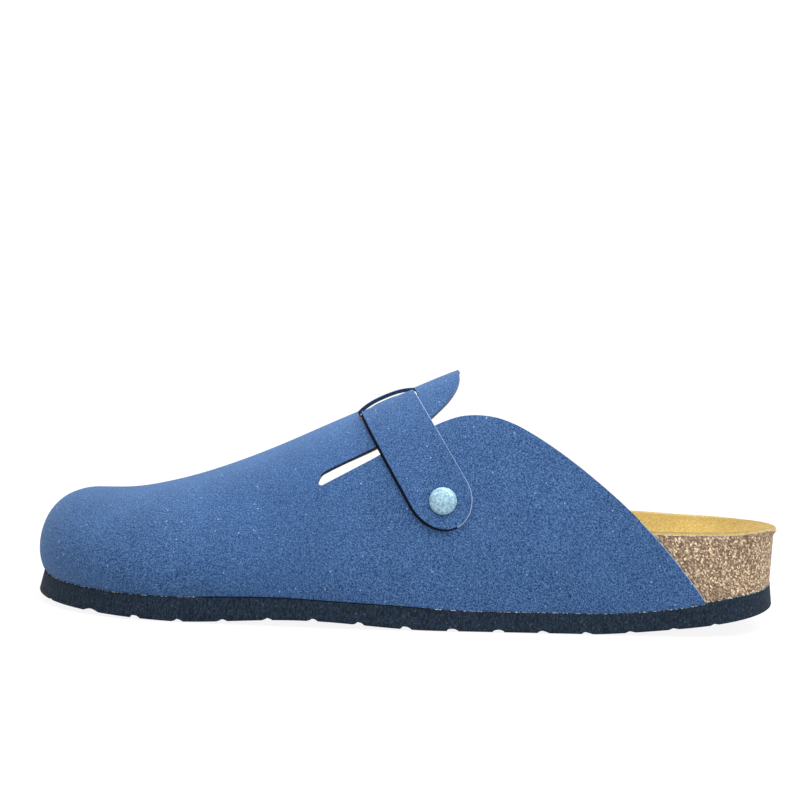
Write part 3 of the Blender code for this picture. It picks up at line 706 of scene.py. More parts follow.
class NodeTree:
    """Short calls for the nodes of a finish or of the studio's surround."""

    def __init__(self, tree: bpy.types.NodeTree) -> None:
        """Keep the tree that the calls fill."""
        self.tree = tree

    def node(self, kind: str, inputs: dict[Union[str, int], object], output: str,
             **settings: object) -> Socket:
        """Add a node.

        Args:
            kind: Blender's type of the node.
            inputs: Values or outputs for its sockets, by name or index.
            output: Name of the output to return.
            settings: Properties of the node.

        Returns:
            The named output.
        """
        node = self.tree.nodes.new(kind)
        for name, value in settings.items():
            setattr(node, name, value)
        for key, value in inputs.items():
            if isinstance(value, bpy.types.NodeSocket):
                self.tree.links.new(value, node.inputs[key])
            else:
                node.inputs[key].default_value = value
        return node.outputs[output]

    def level(self, factor: Socket, low: float, high: float, start: float = 0.0,
              end: float = 1.0, **settings: object) -> Socket:
        """Map a factor from low..high to start..end, held beyond both."""
        return self.node("ShaderNodeMapRange", {"Value": factor, "From Min": low,
                                                "From Max": high, "To Min": start,
                                                "To Max": end}, "Result", **settings)

    def math(self, operation: str, first: object, second: object) -> Socket:
        """Sum, product or another operation on two values."""
        return self.node("ShaderNodeMath", {0: first, 1: second}, "Value", operation=operation)


class Shader(NodeTree):
    """Node tree of one finish, with short calls for its patterns."""

    def __init__(self, name: str) -> None:
        """Start a material with its principled shader.

        Args:
            name: Name of the material.
        """
        self.material = bpy.data.materials.new(name)
        self.material.use_nodes = True
        super().__init__(self.material.node_tree)
        self.principled = self.tree.nodes["Principled BSDF"]
        self.coordinates = self.node("ShaderNodeTexCoord", {}, "Object")

    def set(self, **values: Union[float, Colour]) -> None:
        """Set plain values on the shader's sockets, named with _ for spaces."""
        for name, value in values.items():
            socket = self.principled.inputs[name.replace("_", " ")]
            socket.default_value = (*value, 1.0) if isinstance(value, tuple) else value

    def link(self, name: str, output: Socket) -> None:
        """Join an output to one of the shader's sockets."""
        self.tree.links.new(output, self.principled.inputs[name])

    def stretched(self, scale: Colour, turn: Colour = (0.0, 0.0, 0.0)) -> Socket:
        """Object coordinates for a pattern that is stretched, then turned."""
        return self.node("ShaderNodeMapping", {"Vector": self.coordinates, "Scale": scale,
                                               "Rotation": turn}, "Vector",
                         vector_type="TEXTURE")

    def noise(self, size: float, detail: float = 2.0, rough: float = 0.5,
              at: Optional[Socket] = None, distortion: float = 0.0) -> Socket:
        """Cloudy noise with features of a size in millimetres."""
        return self.node("ShaderNodeTexNoise", {
            "Vector": at or self.coordinates, "Scale": 1.0 / (size * MM), "Detail": detail,
            "Roughness": rough, "Distortion": distortion}, "Fac")

    def cells(self, size: float, output: str = "Distance", at: Optional[Socket] = None,
              jitter: float = 1.0) -> Socket:
        """Cell pattern with cells of a size in millimetres."""
        return self.node("ShaderNodeTexVoronoi", {
            "Vector": at or self.coordinates, "Scale": 1.0 / (size * MM),
            "Randomness": jitter}, output)

    def ramp(self, factor: Socket, *stops: tuple[float, Colour]) -> Socket:
        """Colours over a factor."""
        node = self.tree.nodes.new("ShaderNodeValToRGB")
        self.tree.links.new(factor, node.inputs["Fac"])
        elements = node.color_ramp.elements
        while len(elements) < len(stops):
            elements.new(0.5)
        for element, (position, colour) in zip(elements, stops):
            element.position = position
            element.color = (*colour, 1.0)
        return node.outputs["Color"]

    def mix(self, factor: Union[float, Socket], first: object, second: object,
            blend: str = "MIX") -> Socket:
        """Mix two colours."""
        wrap = [(*c, 1.0) if isinstance(c, tuple) else c for c in (first, second)]
        return self.node("ShaderNodeMixRGB", {"Fac": factor, "Color1": wrap[0],
                                              "Color2": wrap[1]}, "Color", blend_type=blend)

    def bump(self, height: Socket, depth: float, strength: float = 1.0,
             over: Optional[Socket] = None) -> Socket:
        """Normal of a relief with a depth in millimetres."""
        inputs: dict[Union[str, int], object] = {"Height": height, "Distance": depth * MM,
                                                 "Strength": strength}
        if over:
            inputs["Normal"] = over
        return self.node("ShaderNodeBump", inputs, "Normal")


@dataclass(frozen=True)
class Suede:
    """Napped split leather: short fibres, pale tips, cloudy brushed tone, and painted shade darkening
    the toe end.
    """

    name: str
    dark: Colour
    middle: Colour
    light: Colour
    tip: Colour
    sheen: Colour
    sheen_weight: float = 0.28
    nap: float = 0.29
    depth: float = 0.20
    stroke: float = 2.2
    slants: tuple[float, float] = (0.8, -0.8)
    slant_from: float = -80.0
    slant_to: float = -10.0
    # painted shade: the tone is scaled down to this factor at the toe end, between these two
    # distances along
    toe_painted_shade: float = 0.84
    painted_shade_from: float = -125.0
    painted_shade_to: float = -55.0
    fleck_pitch: float = 4.0
    fleck_radius: float = 0.34
    fleck_weight: float = 0.6
    clump_ratio: float = 1.9
    clump_weight: float = 0.22
    contrast: float = 0.10
    cloud_size: float = 17.0
    cloud_shade: float = 0.07

    def material(self) -> bpy.types.Material:
        """Build the material.

        Returns:
            The finished material.
        """
        s = Shader(self.name)
        strokes = [s.noise(self.nap, 3.0, 0.66,
                           s.stretched((1.0, 1.0, self.stroke), (0.0, slant, 0.0)), 0.2)
                   for slant in self.slants]
        along = s.node("ShaderNodeSeparateXYZ", {0: s.coordinates}, "X")
        fibre = s.mix(s.level(along, self.slant_from * MM, self.slant_to * MM), *strokes)
        clump = s.noise(self.nap * self.clump_ratio, 2.0, 0.55)
        cloud = s.noise(self.cloud_size, 2.0, 0.5)
        grain = s.math("ADD", s.math("MULTIPLY", fibre, 1.0 - self.clump_weight),
                       s.math("MULTIPLY", clump, self.clump_weight))
        tone = s.ramp(grain, (0.5 - self.contrast, self.dark), (0.5, self.middle),
                      (0.5 + self.contrast, self.light))
        # random cloud tone times painted shade that darkens the toe end
        shade = s.math("MULTIPLY", s.level(cloud, 0.3, 0.7, 1.0 - self.cloud_shade,
                                           1.0 + self.cloud_shade),
                       s.level(along, self.painted_shade_from * MM, self.painted_shade_to * MM,
                               self.toe_painted_shade, 1.0))
        tone = s.mix(1.0, tone, s.node("ShaderNodeCombineColor", {0: shade, 1: shade, 2: shade},
                                       "Color"), "MULTIPLY")
        reach = self.fleck_radius / self.fleck_pitch
        fleck = s.level(s.cells(self.fleck_pitch), reach, reach / 2.0, 0.0, self.fleck_weight)
        tone = s.mix(fleck, tone, self.tip)
        s.link("Base Color", tone)
        s.link("Normal", s.bump(clump, self.depth * 1.4, 0.7, s.bump(fibre, self.depth, 0.9)))
        s.set(Roughness=0.96, Specular_IOR_Level=0.12, Sheen_Weight=self.sheen_weight,
              Sheen_Roughness=0.5, Sheen_Tint=self.sheen)
        return s.material


@dataclass(frozen=True)
class CutEdge:
    """Raw cut edge of suede: fibres seen end on."""

    name: str
    dark: Colour
    light: Colour
    fuzz: float = 0.15

    def material(self) -> bpy.types.Material:
        """Build the material.

        Returns:
            The finished material.
        """
        s = Shader(self.name)
        fibre = s.noise(0.35, 3.0, 0.6)
        s.link("Base Color", s.ramp(fibre, (0.35, self.dark), (0.68, self.light)))
        s.link("Normal", s.bump(fibre, 0.25))
        s.set(Roughness=0.97, Specular_IOR_Level=0.1, Sheen_Weight=self.fuzz,
              Sheen_Roughness=0.6)
        return s.material


@dataclass(frozen=True)
class Cork:
    """Ground cork: pale and brown granules pressed slantwise in a dark binder."""

    name: str = "cork_granules"
    granule: float = 0.56
    fleck: float = 0.40
    slant: float = -0.6
    stretch: float = 1.35

    def material(self) -> bpy.types.Material:
        """Build the material.

        Returns:
            The finished material.
        """
        s = Shader(self.name)
        warp = s.node("ShaderNodeTexNoise", {"Vector": s.coordinates, "Scale": 1100.0,
                                             "Detail": 2.0}, "Color")
        slant = s.stretched((1.0, 1.0, self.stretch), (0.0, self.slant, 0.0))
        bent = s.node("ShaderNodeMixRGB", {"Fac": 0.0005, "Color1": slant, "Color2": warp},
                      "Color", blend_type="ADD")
        pick = s.node("ShaderNodeSeparateColor", {0: s.cells(self.granule, "Color", bent)}, "Red")
        granule = s.ramp(pick, (0.0, (0.145, 0.092, 0.066)), (0.42, (0.245, 0.166, 0.114)),
                         (0.66, (0.350, 0.248, 0.166)), (0.80, (0.58, 0.435, 0.285)),
                         (1.0, (0.95, 0.78, 0.52)))
        small = s.cells(self.fleck, "Color", bent)
        fleck = s.node("ShaderNodeSeparateColor", {0: small}, "Green")
        granule = s.mix(s.level(fleck, 0.78, 0.90, 0.0, 0.75), granule, (0.74, 0.58, 0.38))
        granule = s.mix(s.level(fleck, 0.24, 0.10, 0.0, 0.75), granule, (0.115, 0.066, 0.042))
        binder = s.cells(self.granule, "Distance", bent)
        granule = s.mix(s.level(binder, 0.50, 0.74, 0.0, 0.5), granule, (0.150, 0.090, 0.058))
        s.link("Base Color", granule)
        pits = s.math("ADD", s.math("MULTIPLY", binder, -0.7), s.noise(0.5, 3.0, 0.6))
        s.link("Normal", s.bump(pits, 0.25, 0.8))
        s.set(Roughness=0.88, Specular_IOR_Level=0.22)
        return s.material


@dataclass(frozen=True)
class Foam:
    """Dense dark foam, sanded at its sides."""

    name: str = "sole_foam_sanded"
    dark: Colour = (0.0006, 0.0044, 0.0122)
    light: Colour = (0.0105, 0.0252, 0.0462)

    def material(self) -> bpy.types.Material:
        """Build the material.

        Returns:
            The finished material.
        """
        s = Shader(self.name)
        sanded = s.noise(0.5, 3.0, 0.6, s.stretched((1.0, 1.0, 4.0)))
        pores = s.noise(0.7, 2.0, 0.6)
        tone = s.ramp(s.math("ADD", s.math("MULTIPLY", sanded, 0.6),
                             s.math("MULTIPLY", pores, 0.4)),
                      (0.43, self.dark), (0.58, self.light))
        speck = s.level(s.noise(0.8, 1.0, 0.4), 0.66, 0.76, 0.0, 0.7)
        s.link("Base Color", s.mix(speck, tone, (0.060, 0.078, 0.100)))
        s.link("Normal", s.bump(pores, 0.18, 0.7, s.bump(sanded, 0.15, 0.7)))
        s.set(Roughness=0.86, Specular_IOR_Level=0.25)
        return s.material


@dataclass(frozen=True)
class AntiqueNickel:
    """Brushed nickel cap with a mottled, greenish tarnish."""

    name: str = "antique_nickel_mottled"

    def material(self) -> bpy.types.Material:
        """Build the material.

        Returns:
            The finished material.
        """
        s = Shader(self.name)
        stain = s.noise(0.7, 4.0, 0.68, None, 0.4)
        scratch = s.noise(0.25, 2.0, 0.5, s.stretched((6.0, 1.0, 1.0), (0.0, 0.9, 0.0)))
        tone = s.ramp(stain, (0.36, (0.165, 0.285, 0.365)), (0.50, (0.30, 0.46, 0.56)),
                      (0.64, (0.46, 0.63, 0.74)))
        s.link("Base Color", tone)
        s.link("Roughness", s.level(stain, 0.3, 0.7, 0.72, 0.55))
        s.link("Normal", s.bump(scratch, 0.05, 0.5, s.bump(stain, 0.10, 0.5)))
        s.set(Metallic=0.9)
        return s.material


@dataclass(frozen=True)
class Mottled:
    """Plain matt stuff with a soft mottle, such as glue, thread or lining."""

    name: str
    dark: Colour
    light: Colour
    size: float = 0.6
    depth: float = 0.12
    roughness: float = 0.9
    low: float = 0.36
    high: float = 0.64

    def material(self) -> bpy.types.Material:
        """Build the material.

        Returns:
            The finished material.
        """
        s = Shader(self.name)
        mottle = s.noise(self.size, 3.0, 0.55)
        s.link("Base Color", s.ramp(mottle, (self.low, self.dark), (self.high, self.light)))
        s.link("Normal", s.bump(mottle, self.depth, 0.8))
        s.set(Roughness=self.roughness, Specular_IOR_Level=0.2)
        return s.material


class Finishes:
    """Materials of the shoe, each made once."""

    def __init__(self) -> None:
        """Build every finish."""
        blue = dict(dark=(0.0065, 0.0285, 0.093), middle=(0.035, 0.089, 0.221),
                    light=(0.095, 0.186, 0.374), tip=(0.42, 0.54, 0.70),
                    sheen=(0.40, 0.63, 1.0), sheen_weight=0.28)
        self.suede = Suede("upper_suede_nap", **blue).material()
        self.strap = Suede("strap_suede_nap", **blue).material()
        self.insole = Suede("insole_suede_nap", (0.290, 0.190, 0.048), (0.415, 0.285, 0.084),
                            (0.540, 0.385, 0.134), (0.60, 0.46, 0.20), (1.0, 0.86, 0.55),
                            0.2, 0.36, 0.16, toe_painted_shade=1.0).material()
        self.insole_edge = CutEdge("insole_cut_edge", (0.40, 0.280, 0.088),
                                   (0.66, 0.495, 0.215)).material()
        # painted shade for the insole's crease beside its cut edge
        self.insole_crease = Mottled("insole_crease", (0.335, 0.228, 0.064), (0.470, 0.328, 0.106),
                                     0.5).material()
        self.edge = CutEdge("suede_cut_edge", (0.030, 0.068, 0.165),
                            (0.110, 0.185, 0.350)).material()
        # near-black painted shadow for the strap's toe-side cut edge and for the shaded run of the
        # upper's glue line
        self.dark_edge = CutEdge("suede_deep_painted_shade", (0.0015, 0.002, 0.005),
                                 (0.010, 0.013, 0.024), 0.0).material()
        # navy painted shade for the cut edges of the bridge and of the slit's upper lip
        self.navy_painted_shade = CutEdge("suede_navy_painted_shade", (0.009, 0.018, 0.046),
                                 (0.040, 0.070, 0.145), 0.05).material()
        # pale painted highlight for the strap's heel-side cut edge and for the quarter's top edge
        # towards the heel
        self.painted_highlight = CutEdge("suede_painted_highlight", (0.180, 0.262, 0.410),
                                 (0.430, 0.530, 0.690)).material()
        self.lining = Mottled("natural_lining", (0.60, 0.57, 0.51), (0.78, 0.75, 0.69)).material()
        self.cork = Cork().material()
        self.foam = Foam().material()
        self.nickel = AntiqueNickel().material()
        self.glue = Mottled("dried_glue", (0.014, 0.025, 0.045), (0.50, 0.57, 0.66), 0.85,
                            low=0.49, high=0.64).material()
        self.rim_glue = Mottled("dried_rim_glue", (0.200, 0.130, 0.090), (0.66, 0.58, 0.58), 0.9,
                                low=0.40, high=0.62).material()
        self.thread = Mottled("navy_thread", (0.016, 0.030, 0.070), (0.045, 0.075, 0.150),
                              0.3).material()


@dataclass
class Upper:
    """Suede upper: vamp, tongue flap with its bridge, and both quarters in one wall."""

    finishes: Finishes
    form: UpperForm = field(default_factory=UpperForm)
    strap: StrapForm = field(default_factory=StrapForm)
    toe_stations: int = 26
    body_stations: int = 54
    quarter_stations: int = 92
    quarter_rows: int = 26
    bridge_rows: int = 4
    slot_rows: int = 5
    lip_rows: int = 13
    front_stations: int = 8
    before_stations: int = 7
    slot_stations: int = 26
    tip_stations: int = 18
    edge_strip: float = 0.32
    least_height: float = 0.1
    most_strip: float = 0.3
    # distance along from which the quarter's top edge carries a painted highlight
    painted_highlight_from: float = 219.0
    bridge_edge_side: float = 9.0
    bridge_edge_height: float = 70.0
    bridge_edge_margin: float = 3.0
    slit_lip_facing: float = -0.3
    slit_lip_height: float = 40.0
    slit_lip_end: float = 0.0

    @cached_property
    def shares(self) -> Array:
        """Shares of the tongue's half width at its rows, slot edges among them."""
        bridge, slot = self.strap.bridge_share, self.strap.slot_share
        counts = self.bridge_rows, self.slot_rows, self.lip_rows
        spans = [np.linspace(*ends) for ends in zip((0.0, bridge, slot), (bridge, slot, 1.0), counts)]
        half = np.concatenate([spans[0], spans[1][1:], spans[2][1:]])
        return np.concatenate([-half[:0:-1], half])

    @cached_property
    def front_turns(self) -> Array:
        """Turns of the tongue's rows at the front ends of the slits."""
        form = self.form
        edges = [form.tongue_turn(form.slit_start - form.ahead(side), side) for side in Side]
        return self.shares * np.where(self.shares < 0.0, edges[0], edges[1])

    def quarter_turns(self, along: float, side: Side) -> Array:
        """Turns of a quarter's rows, from its lower edge up to its top edge.

        Args:
            along: Distance from the toe.
            side: Side of the foot.

        Returns:
            The turns, with a last narrow row for the brushed edge.
        """
        form = self.form
        top = form.turn_at(along, form.quarter_height(along, side))
        ends = form.point(along, np.array([1.0, top]))
        height = max(float(np.linalg.norm(ends[1] - ends[0])), self.least_height)
        strip = min(self.edge_strip / height, self.most_strip)
        # The turns, with a last narrow row at the top edge, which carries a painted highlight towards
        # the heel.
        shares = np.linspace(0.0, 1.0 - strip, self.quarter_rows)
        return 1.0 + (top - 1.0) * np.append(shares, 1.0)

    @cached_property
    def slit_front(self) -> Array:
        """Stations round the front end of a slit."""
        shares = np.linspace(0.0, 1.0, self.front_stations)
        return self.form.slit_start + self.form.slit_round * shares ** 2

    def vamp(self) -> Array:
        """Grid of the closed part, from the toe to the front ends of the slits."""
        form, start = self.form, self.form.slit_start
        angles = np.linspace(0.0, math.pi / 2.0, self.toe_stations + 1)
        toe = form.feather_toe + form.sole.lateral_toe_round / 2.0 * (1.0 - np.cos(angles))
        body = np.linspace(toe[-1], start, self.body_stations + 1)[1:]
        at_slit = np.concatenate([
            -self.quarter_turns(start, Side.LATERAL), self.front_turns[1:-1],
            self.quarter_turns(start - form.medial_ahead, Side.MEDIAL)[::-1]])
        even = np.linspace(-1.0, 1.0, len(at_slit))
        rows = []
        for along in np.concatenate([toe, body]):
            turns = even + (at_slit - even) * ramp(along, 0.0, start)
            ahead = form.row_ahead(turns) * ramp(along, toe[-1], start)
            rows.append(form.point(along - ahead, turns))
        return np.array(rows)

    def quarter(self, side: Side) -> Array:
        """Grid of one side behind the slit's front end."""
        front = self.slit_front - self.form.ahead(side)
        rest = np.linspace(front[-1], self.form.quarter_end, self.quarter_stations)
        return np.array([self.form.point(along, side.value * self.quarter_turns(along, side))
                         for along in np.concatenate([front, rest[1:]])])

    def tongue(self) -> tuple[Array, Callable[[int, int], bool]]:
        """Grid of the tongue flap with its bridge raised.

        Returns:
            The grid, and the test for cells of its two slots.
        """
        form, strap = self.form, self.strap
        reach = strap.width / 2.0 + strap.slot_margin
        slot = strap.ridge_station(np.linspace(-reach, reach, self.slot_stations + 1))
        before = np.linspace(self.slit_front[-1], slot[0], self.before_stations)[1:-1]
        angles = np.linspace(0.0, math.pi / 2.0, self.tip_stations + 1)[1:]
        after = slot[-1] + (form.tongue_tip - slot[-1]) * np.sin(angles)
        stations = np.concatenate([self.slit_front, before, slot, after])
        slot_first = len(self.slit_front) + len(before)
        lean = strap.lean * ramp(stations, self.slit_front[-1], strap.tilt_start)
        across = ((stations - strap.ridge_along)
                  / (strap.ridge_station(1.0) - strap.ridge_along))
        fade = 1.0 - ramp(stations, form.slit_start, slot[0])
        rows = []
        for share, front_turn in zip(self.shares, self.front_turns):
            side = Side.LATERAL if share < 0.0 else Side.MEDIAL
            ahead = form.row_ahead(front_turn) * fade
            behind = form.ahead(side) * fade - ahead
            along = form.leaning(stations - ahead, lean,
                                 lambda s: share * form.tongue_turn(s - behind, side))
            turn = share * form.tongue_turn(along - behind, side)
            row = form.point(along, turn)
            if abs(share) <= strap.bridge_share + TINY:
                row = row + form.normal(along, turn) * strap.rise(across)[:, None]
            rows.append(row)
        edge = np.abs(self.shares)
        in_slot = ((np.minimum(edge[:-1], edge[1:]) >= strap.bridge_share - TINY)
                   & (np.maximum(edge[:-1], edge[1:]) <= strap.slot_share + TINY))

        def is_open(i: int, j: int) -> bool:
            """Whether a cell lies in a slot."""
            return bool(in_slot[j]) and slot_first <= i < slot_first + self.slot_stations

        return np.stack(rows, axis=1), is_open

    def build(self) -> list[bpy.types.Object]:
        """Build the upper.

        Returns:
            Its one piece.
        """
        sheet = Sheet()
        sheet.patch(self.vamp())
        grid, is_open = self.tongue()
        sheet.patch(grid, is_open=is_open)
        for side in Side:
            grid = self.quarter(side)
            rear = int(np.searchsorted(grid[:, 0, 0], self.painted_highlight_from - self.form.sole.middle))
            flip = 1 if side is Side.LATERAL else -1
            sheet.patch(grid[:rear + 1, ::flip])
            sheet.patch(grid[rear:, :-1][:, ::flip])
            # the top-edge strip towards the heel gets a pale painted highlight
            sheet.patch(grid[rear:, -2:][:, ::flip], UpperFace.PALE_STRIP.value)
        f = self.finishes
        piece = sheet.piece("suede_upper", (
            f.suede, f.lining, f.edge, f.navy_painted_shade, f.painted_highlight, f.lining, f.edge))
        thicken(piece, self.form.wall, -1.0)
        settle(piece)
        self.dress_edges(piece)
        return [take(piece, "upper")]

    def dress_edges(self, piece: bpy.types.Object) -> None:
        """Paint navy shade onto the cut edges of the bridge and of the slit's upper lip.

        Args:
            piece: The upper, with its cut edges in the third slot.
        """
        strap = self.strap
        reach = strap.width / 2.0 + strap.slot_margin
        ends = strap.ridge_station(np.array([-reach, reach])) - self.form.sole.middle
        for face in piece.data.polygons:
            if face.material_index != UpperFace.EDGE.value:
                continue
            x, y, z = face.center / MM
            on_bridge = (abs(y) < self.bridge_edge_side and z > self.bridge_edge_height
                         and ends[0] - self.bridge_edge_margin < x
                         < ends[1] + self.bridge_edge_margin)
            over_slit = (face.normal.z < self.slit_lip_facing and x < self.slit_lip_end
                         and z > self.slit_lip_height)
            # these cut edges get the navy painted shade
            if on_bridge or over_slit:
                face.material_index = UpperFace.DARK_EDGE.value


@dataclass
class Strap:
    """Instep band with rounded ends; its inner end is sewn down."""

    finishes: Finishes
    form: StrapForm = field(default_factory=StrapForm)
    end_stations: int = 16
    straight_stations: int = 44
    bridge_stations: int = 40
    columns: int = 18
    bridge_reach: float = 20.0
    toe_slope: float = 0.75
    heel_slope: float = 0.4
    end_slope: float = 0.4
    top_round: float = 0.2
    stitch_inset: float = 2.4
    stitch_length: float = 2.3
    stitch_gap: float = 0.9
    stitch_radius: float = 0.34
    stitch_rise: float = 1.1
    stitch_power: int = 4
    stitch_tip: float = 0.02
    stitch_sides: int = 8
    stitch_rings: int = 9
    stitch_turns: int = 61
    stitch_runs: int = 20
    sewn_reach: float = 13.0

    def stations(self, inset: float = 0.0) -> tuple[Array, Array]:
        """Stations from the lateral end to the medial one.

        Args:
            inset: How much shorter the rounded ends are.

        Returns:
            Distances from the ridge, and the share of the half width at each.
        """
        form = self.form
        angles = np.linspace(0.0, math.pi / 2.0, self.end_stations + 1)[:-1]
        straight_end = form.to_rivet - form.end_back
        end = straight_end + (form.end_reach - inset) * np.cos(angles)
        straight = np.concatenate([
            np.linspace(straight_end, self.bridge_reach, self.straight_stations),
            np.linspace(self.bridge_reach, 0.0, self.bridge_stations)[1:]])
        lateral = -np.concatenate([end, straight])
        share = np.concatenate([np.sin(angles), np.ones(len(straight))])
        return (np.concatenate([lateral, -lateral[-2::-1]]),
                np.concatenate([share, share[-2::-1]]))

    def face_grid(self, above: float, toe: float, heel: float, end: float) -> Array:
        """Grid of the band's upper or lower face.

        Args:
            above: Height over the underside.
            toe: How far its toe-side edge is drawn in.
            heel: How far its heel-side edge is drawn in.
            end: How far its ends are drawn in.

        Returns:
            Points by station and column.
        """
        half = self.form.width / 2.0
        across = np.linspace(toe - half, half - heel, self.columns + 1)
        return np.array([self.form.surface(travel, across * share, above)
                         for travel, share in zip(*self.stations(end))])

    def band(self) -> bpy.types.Object:
        """Build the band itself."""
        thick = self.form.thickness
        under = self.face_grid(0.0, 0.0, 0.0, 0.0)
        rim = self.face_grid(thick - self.top_round, self.toe_slope, self.heel_slope,
                             self.end_slope)
        top = self.face_grid(thick, *(slope + self.top_round for slope in (
            self.toe_slope, self.heel_slope, self.end_slope)))
        sheet = Sheet()
        sheet.patch(top)
        sheet.patch(under[:, ::-1], StrapFace.UNDERSIDE.value)
        # toe-side cut edges get a near-black painted shadow, heel-side ones a pale painted highlight
        for lower, upper, at_toe, at_heel in (
                (under, rim, StrapFace.TOE_EDGE, StrapFace.HEEL_EDGE),
                (rim, top, StrapFace.NAP, StrapFace.NAP)):
            sheet.patch(np.stack([lower[:, 0], upper[:, 0]], axis=1), at_toe.value)
            sheet.patch(np.stack([upper[:, -1], lower[:, -1]], axis=1), at_heel.value)
        f = self.finishes
        piece = sheet.piece("suede_strap", (f.strap, f.dark_edge, f.painted_highlight, f.lining))
        return settle(piece)

    def stitch_path(self) -> Array:
        """Points of the sewn line round the inner end, as travel and across."""
        form = self.form
        radius = form.width / 2.0 - self.stitch_inset
        reach = form.end_reach - self.stitch_inset
        straight_end = form.to_rivet - form.end_back
        angles = np.linspace(-math.pi / 2.0, math.pi / 2.0, self.stitch_turns)
        curve = np.stack([straight_end + reach * np.cos(angles), radius * np.sin(angles)], 1)
        runs = np.linspace(straight_end - self.sewn_reach, straight_end, self.stitch_runs)[:-1]
        start = np.stack([runs, np.full(len(runs), -radius)], 1)
        return np.concatenate([start, curve, (start * (1.0, -1.0))[::-1]])

    def stitches(self) -> bpy.types.Object:
        """Build the row of stitches that holds the inner end."""
        path = self.stitch_path()
        travelled = walked(path)
        step = self.stitch_length + self.stitch_gap
        sheet = Sheet()
        shares = np.linspace(0.0, 1.0, self.stitch_rings)
        for k in range(int(travelled[-1] // step)):
            at = k * step + self.stitch_gap / 2.0 + shares * self.stitch_length
            spots = np.stack([np.interp(at, travelled, path[:, i]) for i in (0, 1)], 1)
            line = np.array([self.form.surface(travel, across, self.form.thickness)
                             for travel, across in spots])
            along = unit(np.gradient(line, axis=0))
            places = [self.form.place(travel, across) for travel, across in spots]
            up = np.array([self.form.upper.normal(*place) for place in places])
            sunk = self.stitch_radius * self.stitch_rise * (np.sin(math.pi * shares) - 0.5)
            fullness = 1.0 - (2.0 * shares - 1.0) ** self.stitch_power
            size = self.stitch_radius * np.sqrt(np.clip(fullness, self.stitch_tip, 1.0))
            sheet.tube(line + up * sunk[:, None], np.cross(up, along), up, size,
                       self.stitch_sides)
        return settle(sheet.piece("strap_end_stitches", (self.finishes.thread,)))

    def build(self) -> list[bpy.types.Object]:
        """Build the strap.

        Returns:
            The band and the stitches of its inner end.
        """
        return [take(self.band(), "strap"), take(self.stitches())]


@dataclass
class Rivet:
    """Domed cap over the strap and a back plate inside the quarter."""

    finishes: Finishes
    form: StrapForm = field(default_factory=StrapForm)
    cap_radius: float = 4.8
    cap_edge: float = 0.5
    cap_dome: float = 1.1
    edge_round: float = 0.22
    plate_radius: float = 3.5
    plate_thickness: float = 0.8
    plate_gap: float = 0.45
    plate_side: float = 0.6
    plate_round: float = 0.3
    centre: float = 0.02
    dome_rings: int = 22
    edge_rings: int = 5
    edge_start: float = 0.3
    seat: float = 0.1
    weld: float = 0.03
    crease: float = 50.0
    steps: int = 72

    def turned(self, profile: Sequence[tuple[float, float]]) -> Array:
        """Grid of a turned shape.

        Args:
            profile: Radius and height from its top to its underside.

        Returns:
            Points by profile step and turn, before they are placed.
        """
        angles = np.linspace(0.0, 2.0 * math.pi, self.steps + 1)[:-1]
        return np.array([[(r * math.cos(a), r * math.sin(a), h) for a in angles]
                         for r, h in profile])

    def build(self) -> list[bpy.types.Object]:
        """Build the rivet.

        Returns:
            Its one piece.
        """
        gap = self.form.upper.sole.gap
        under = gap + self.form.thickness + gap
        rim = self.cap_radius - self.edge_round
        dome = [(rim * math.sin(a), under + self.cap_edge + self.cap_dome * math.cos(a))
                for a in np.linspace(self.centre, math.pi / 2.0, self.dome_rings)]
        edge = [(rim + self.edge_round * math.sin(a),
                 under + self.edge_round + (self.cap_edge - self.edge_round) * math.cos(a))
                for a in np.linspace(self.edge_start, math.pi / 2.0, self.edge_rings)]
        back = -self.form.upper.wall - self.plate_gap
        side = back - self.plate_thickness * self.plate_side
        face = back - self.plate_thickness
        plate = [(self.centre, back), (self.plate_radius, back), (self.plate_radius, side),
                 (self.plate_radius - self.plate_round, face), (self.centre, face)]
        cap = dome + edge + [(self.cap_radius, under + self.seat), (rim, under),
                             (self.centre, under)]
        along, turn = self.form.place(-self.form.to_rivet, 0.0)
        spot = self.form.upper.point(along, turn)
        normal = Vector(self.form.upper.normal(along, turn))
        turn_to = np.array(normal.to_track_quat("Z", "Y").to_matrix())
        sheet = Sheet()
        for profile in (cap, plate):
            sheet.patch(self.turned(profile) @ turn_to.T + spot, around=True)
        piece = sheet.piece("nickel_rivet", (self.finishes.nickel,), self.weld)
        return [take(settle(piece, self.crease), "strap_rivet")]


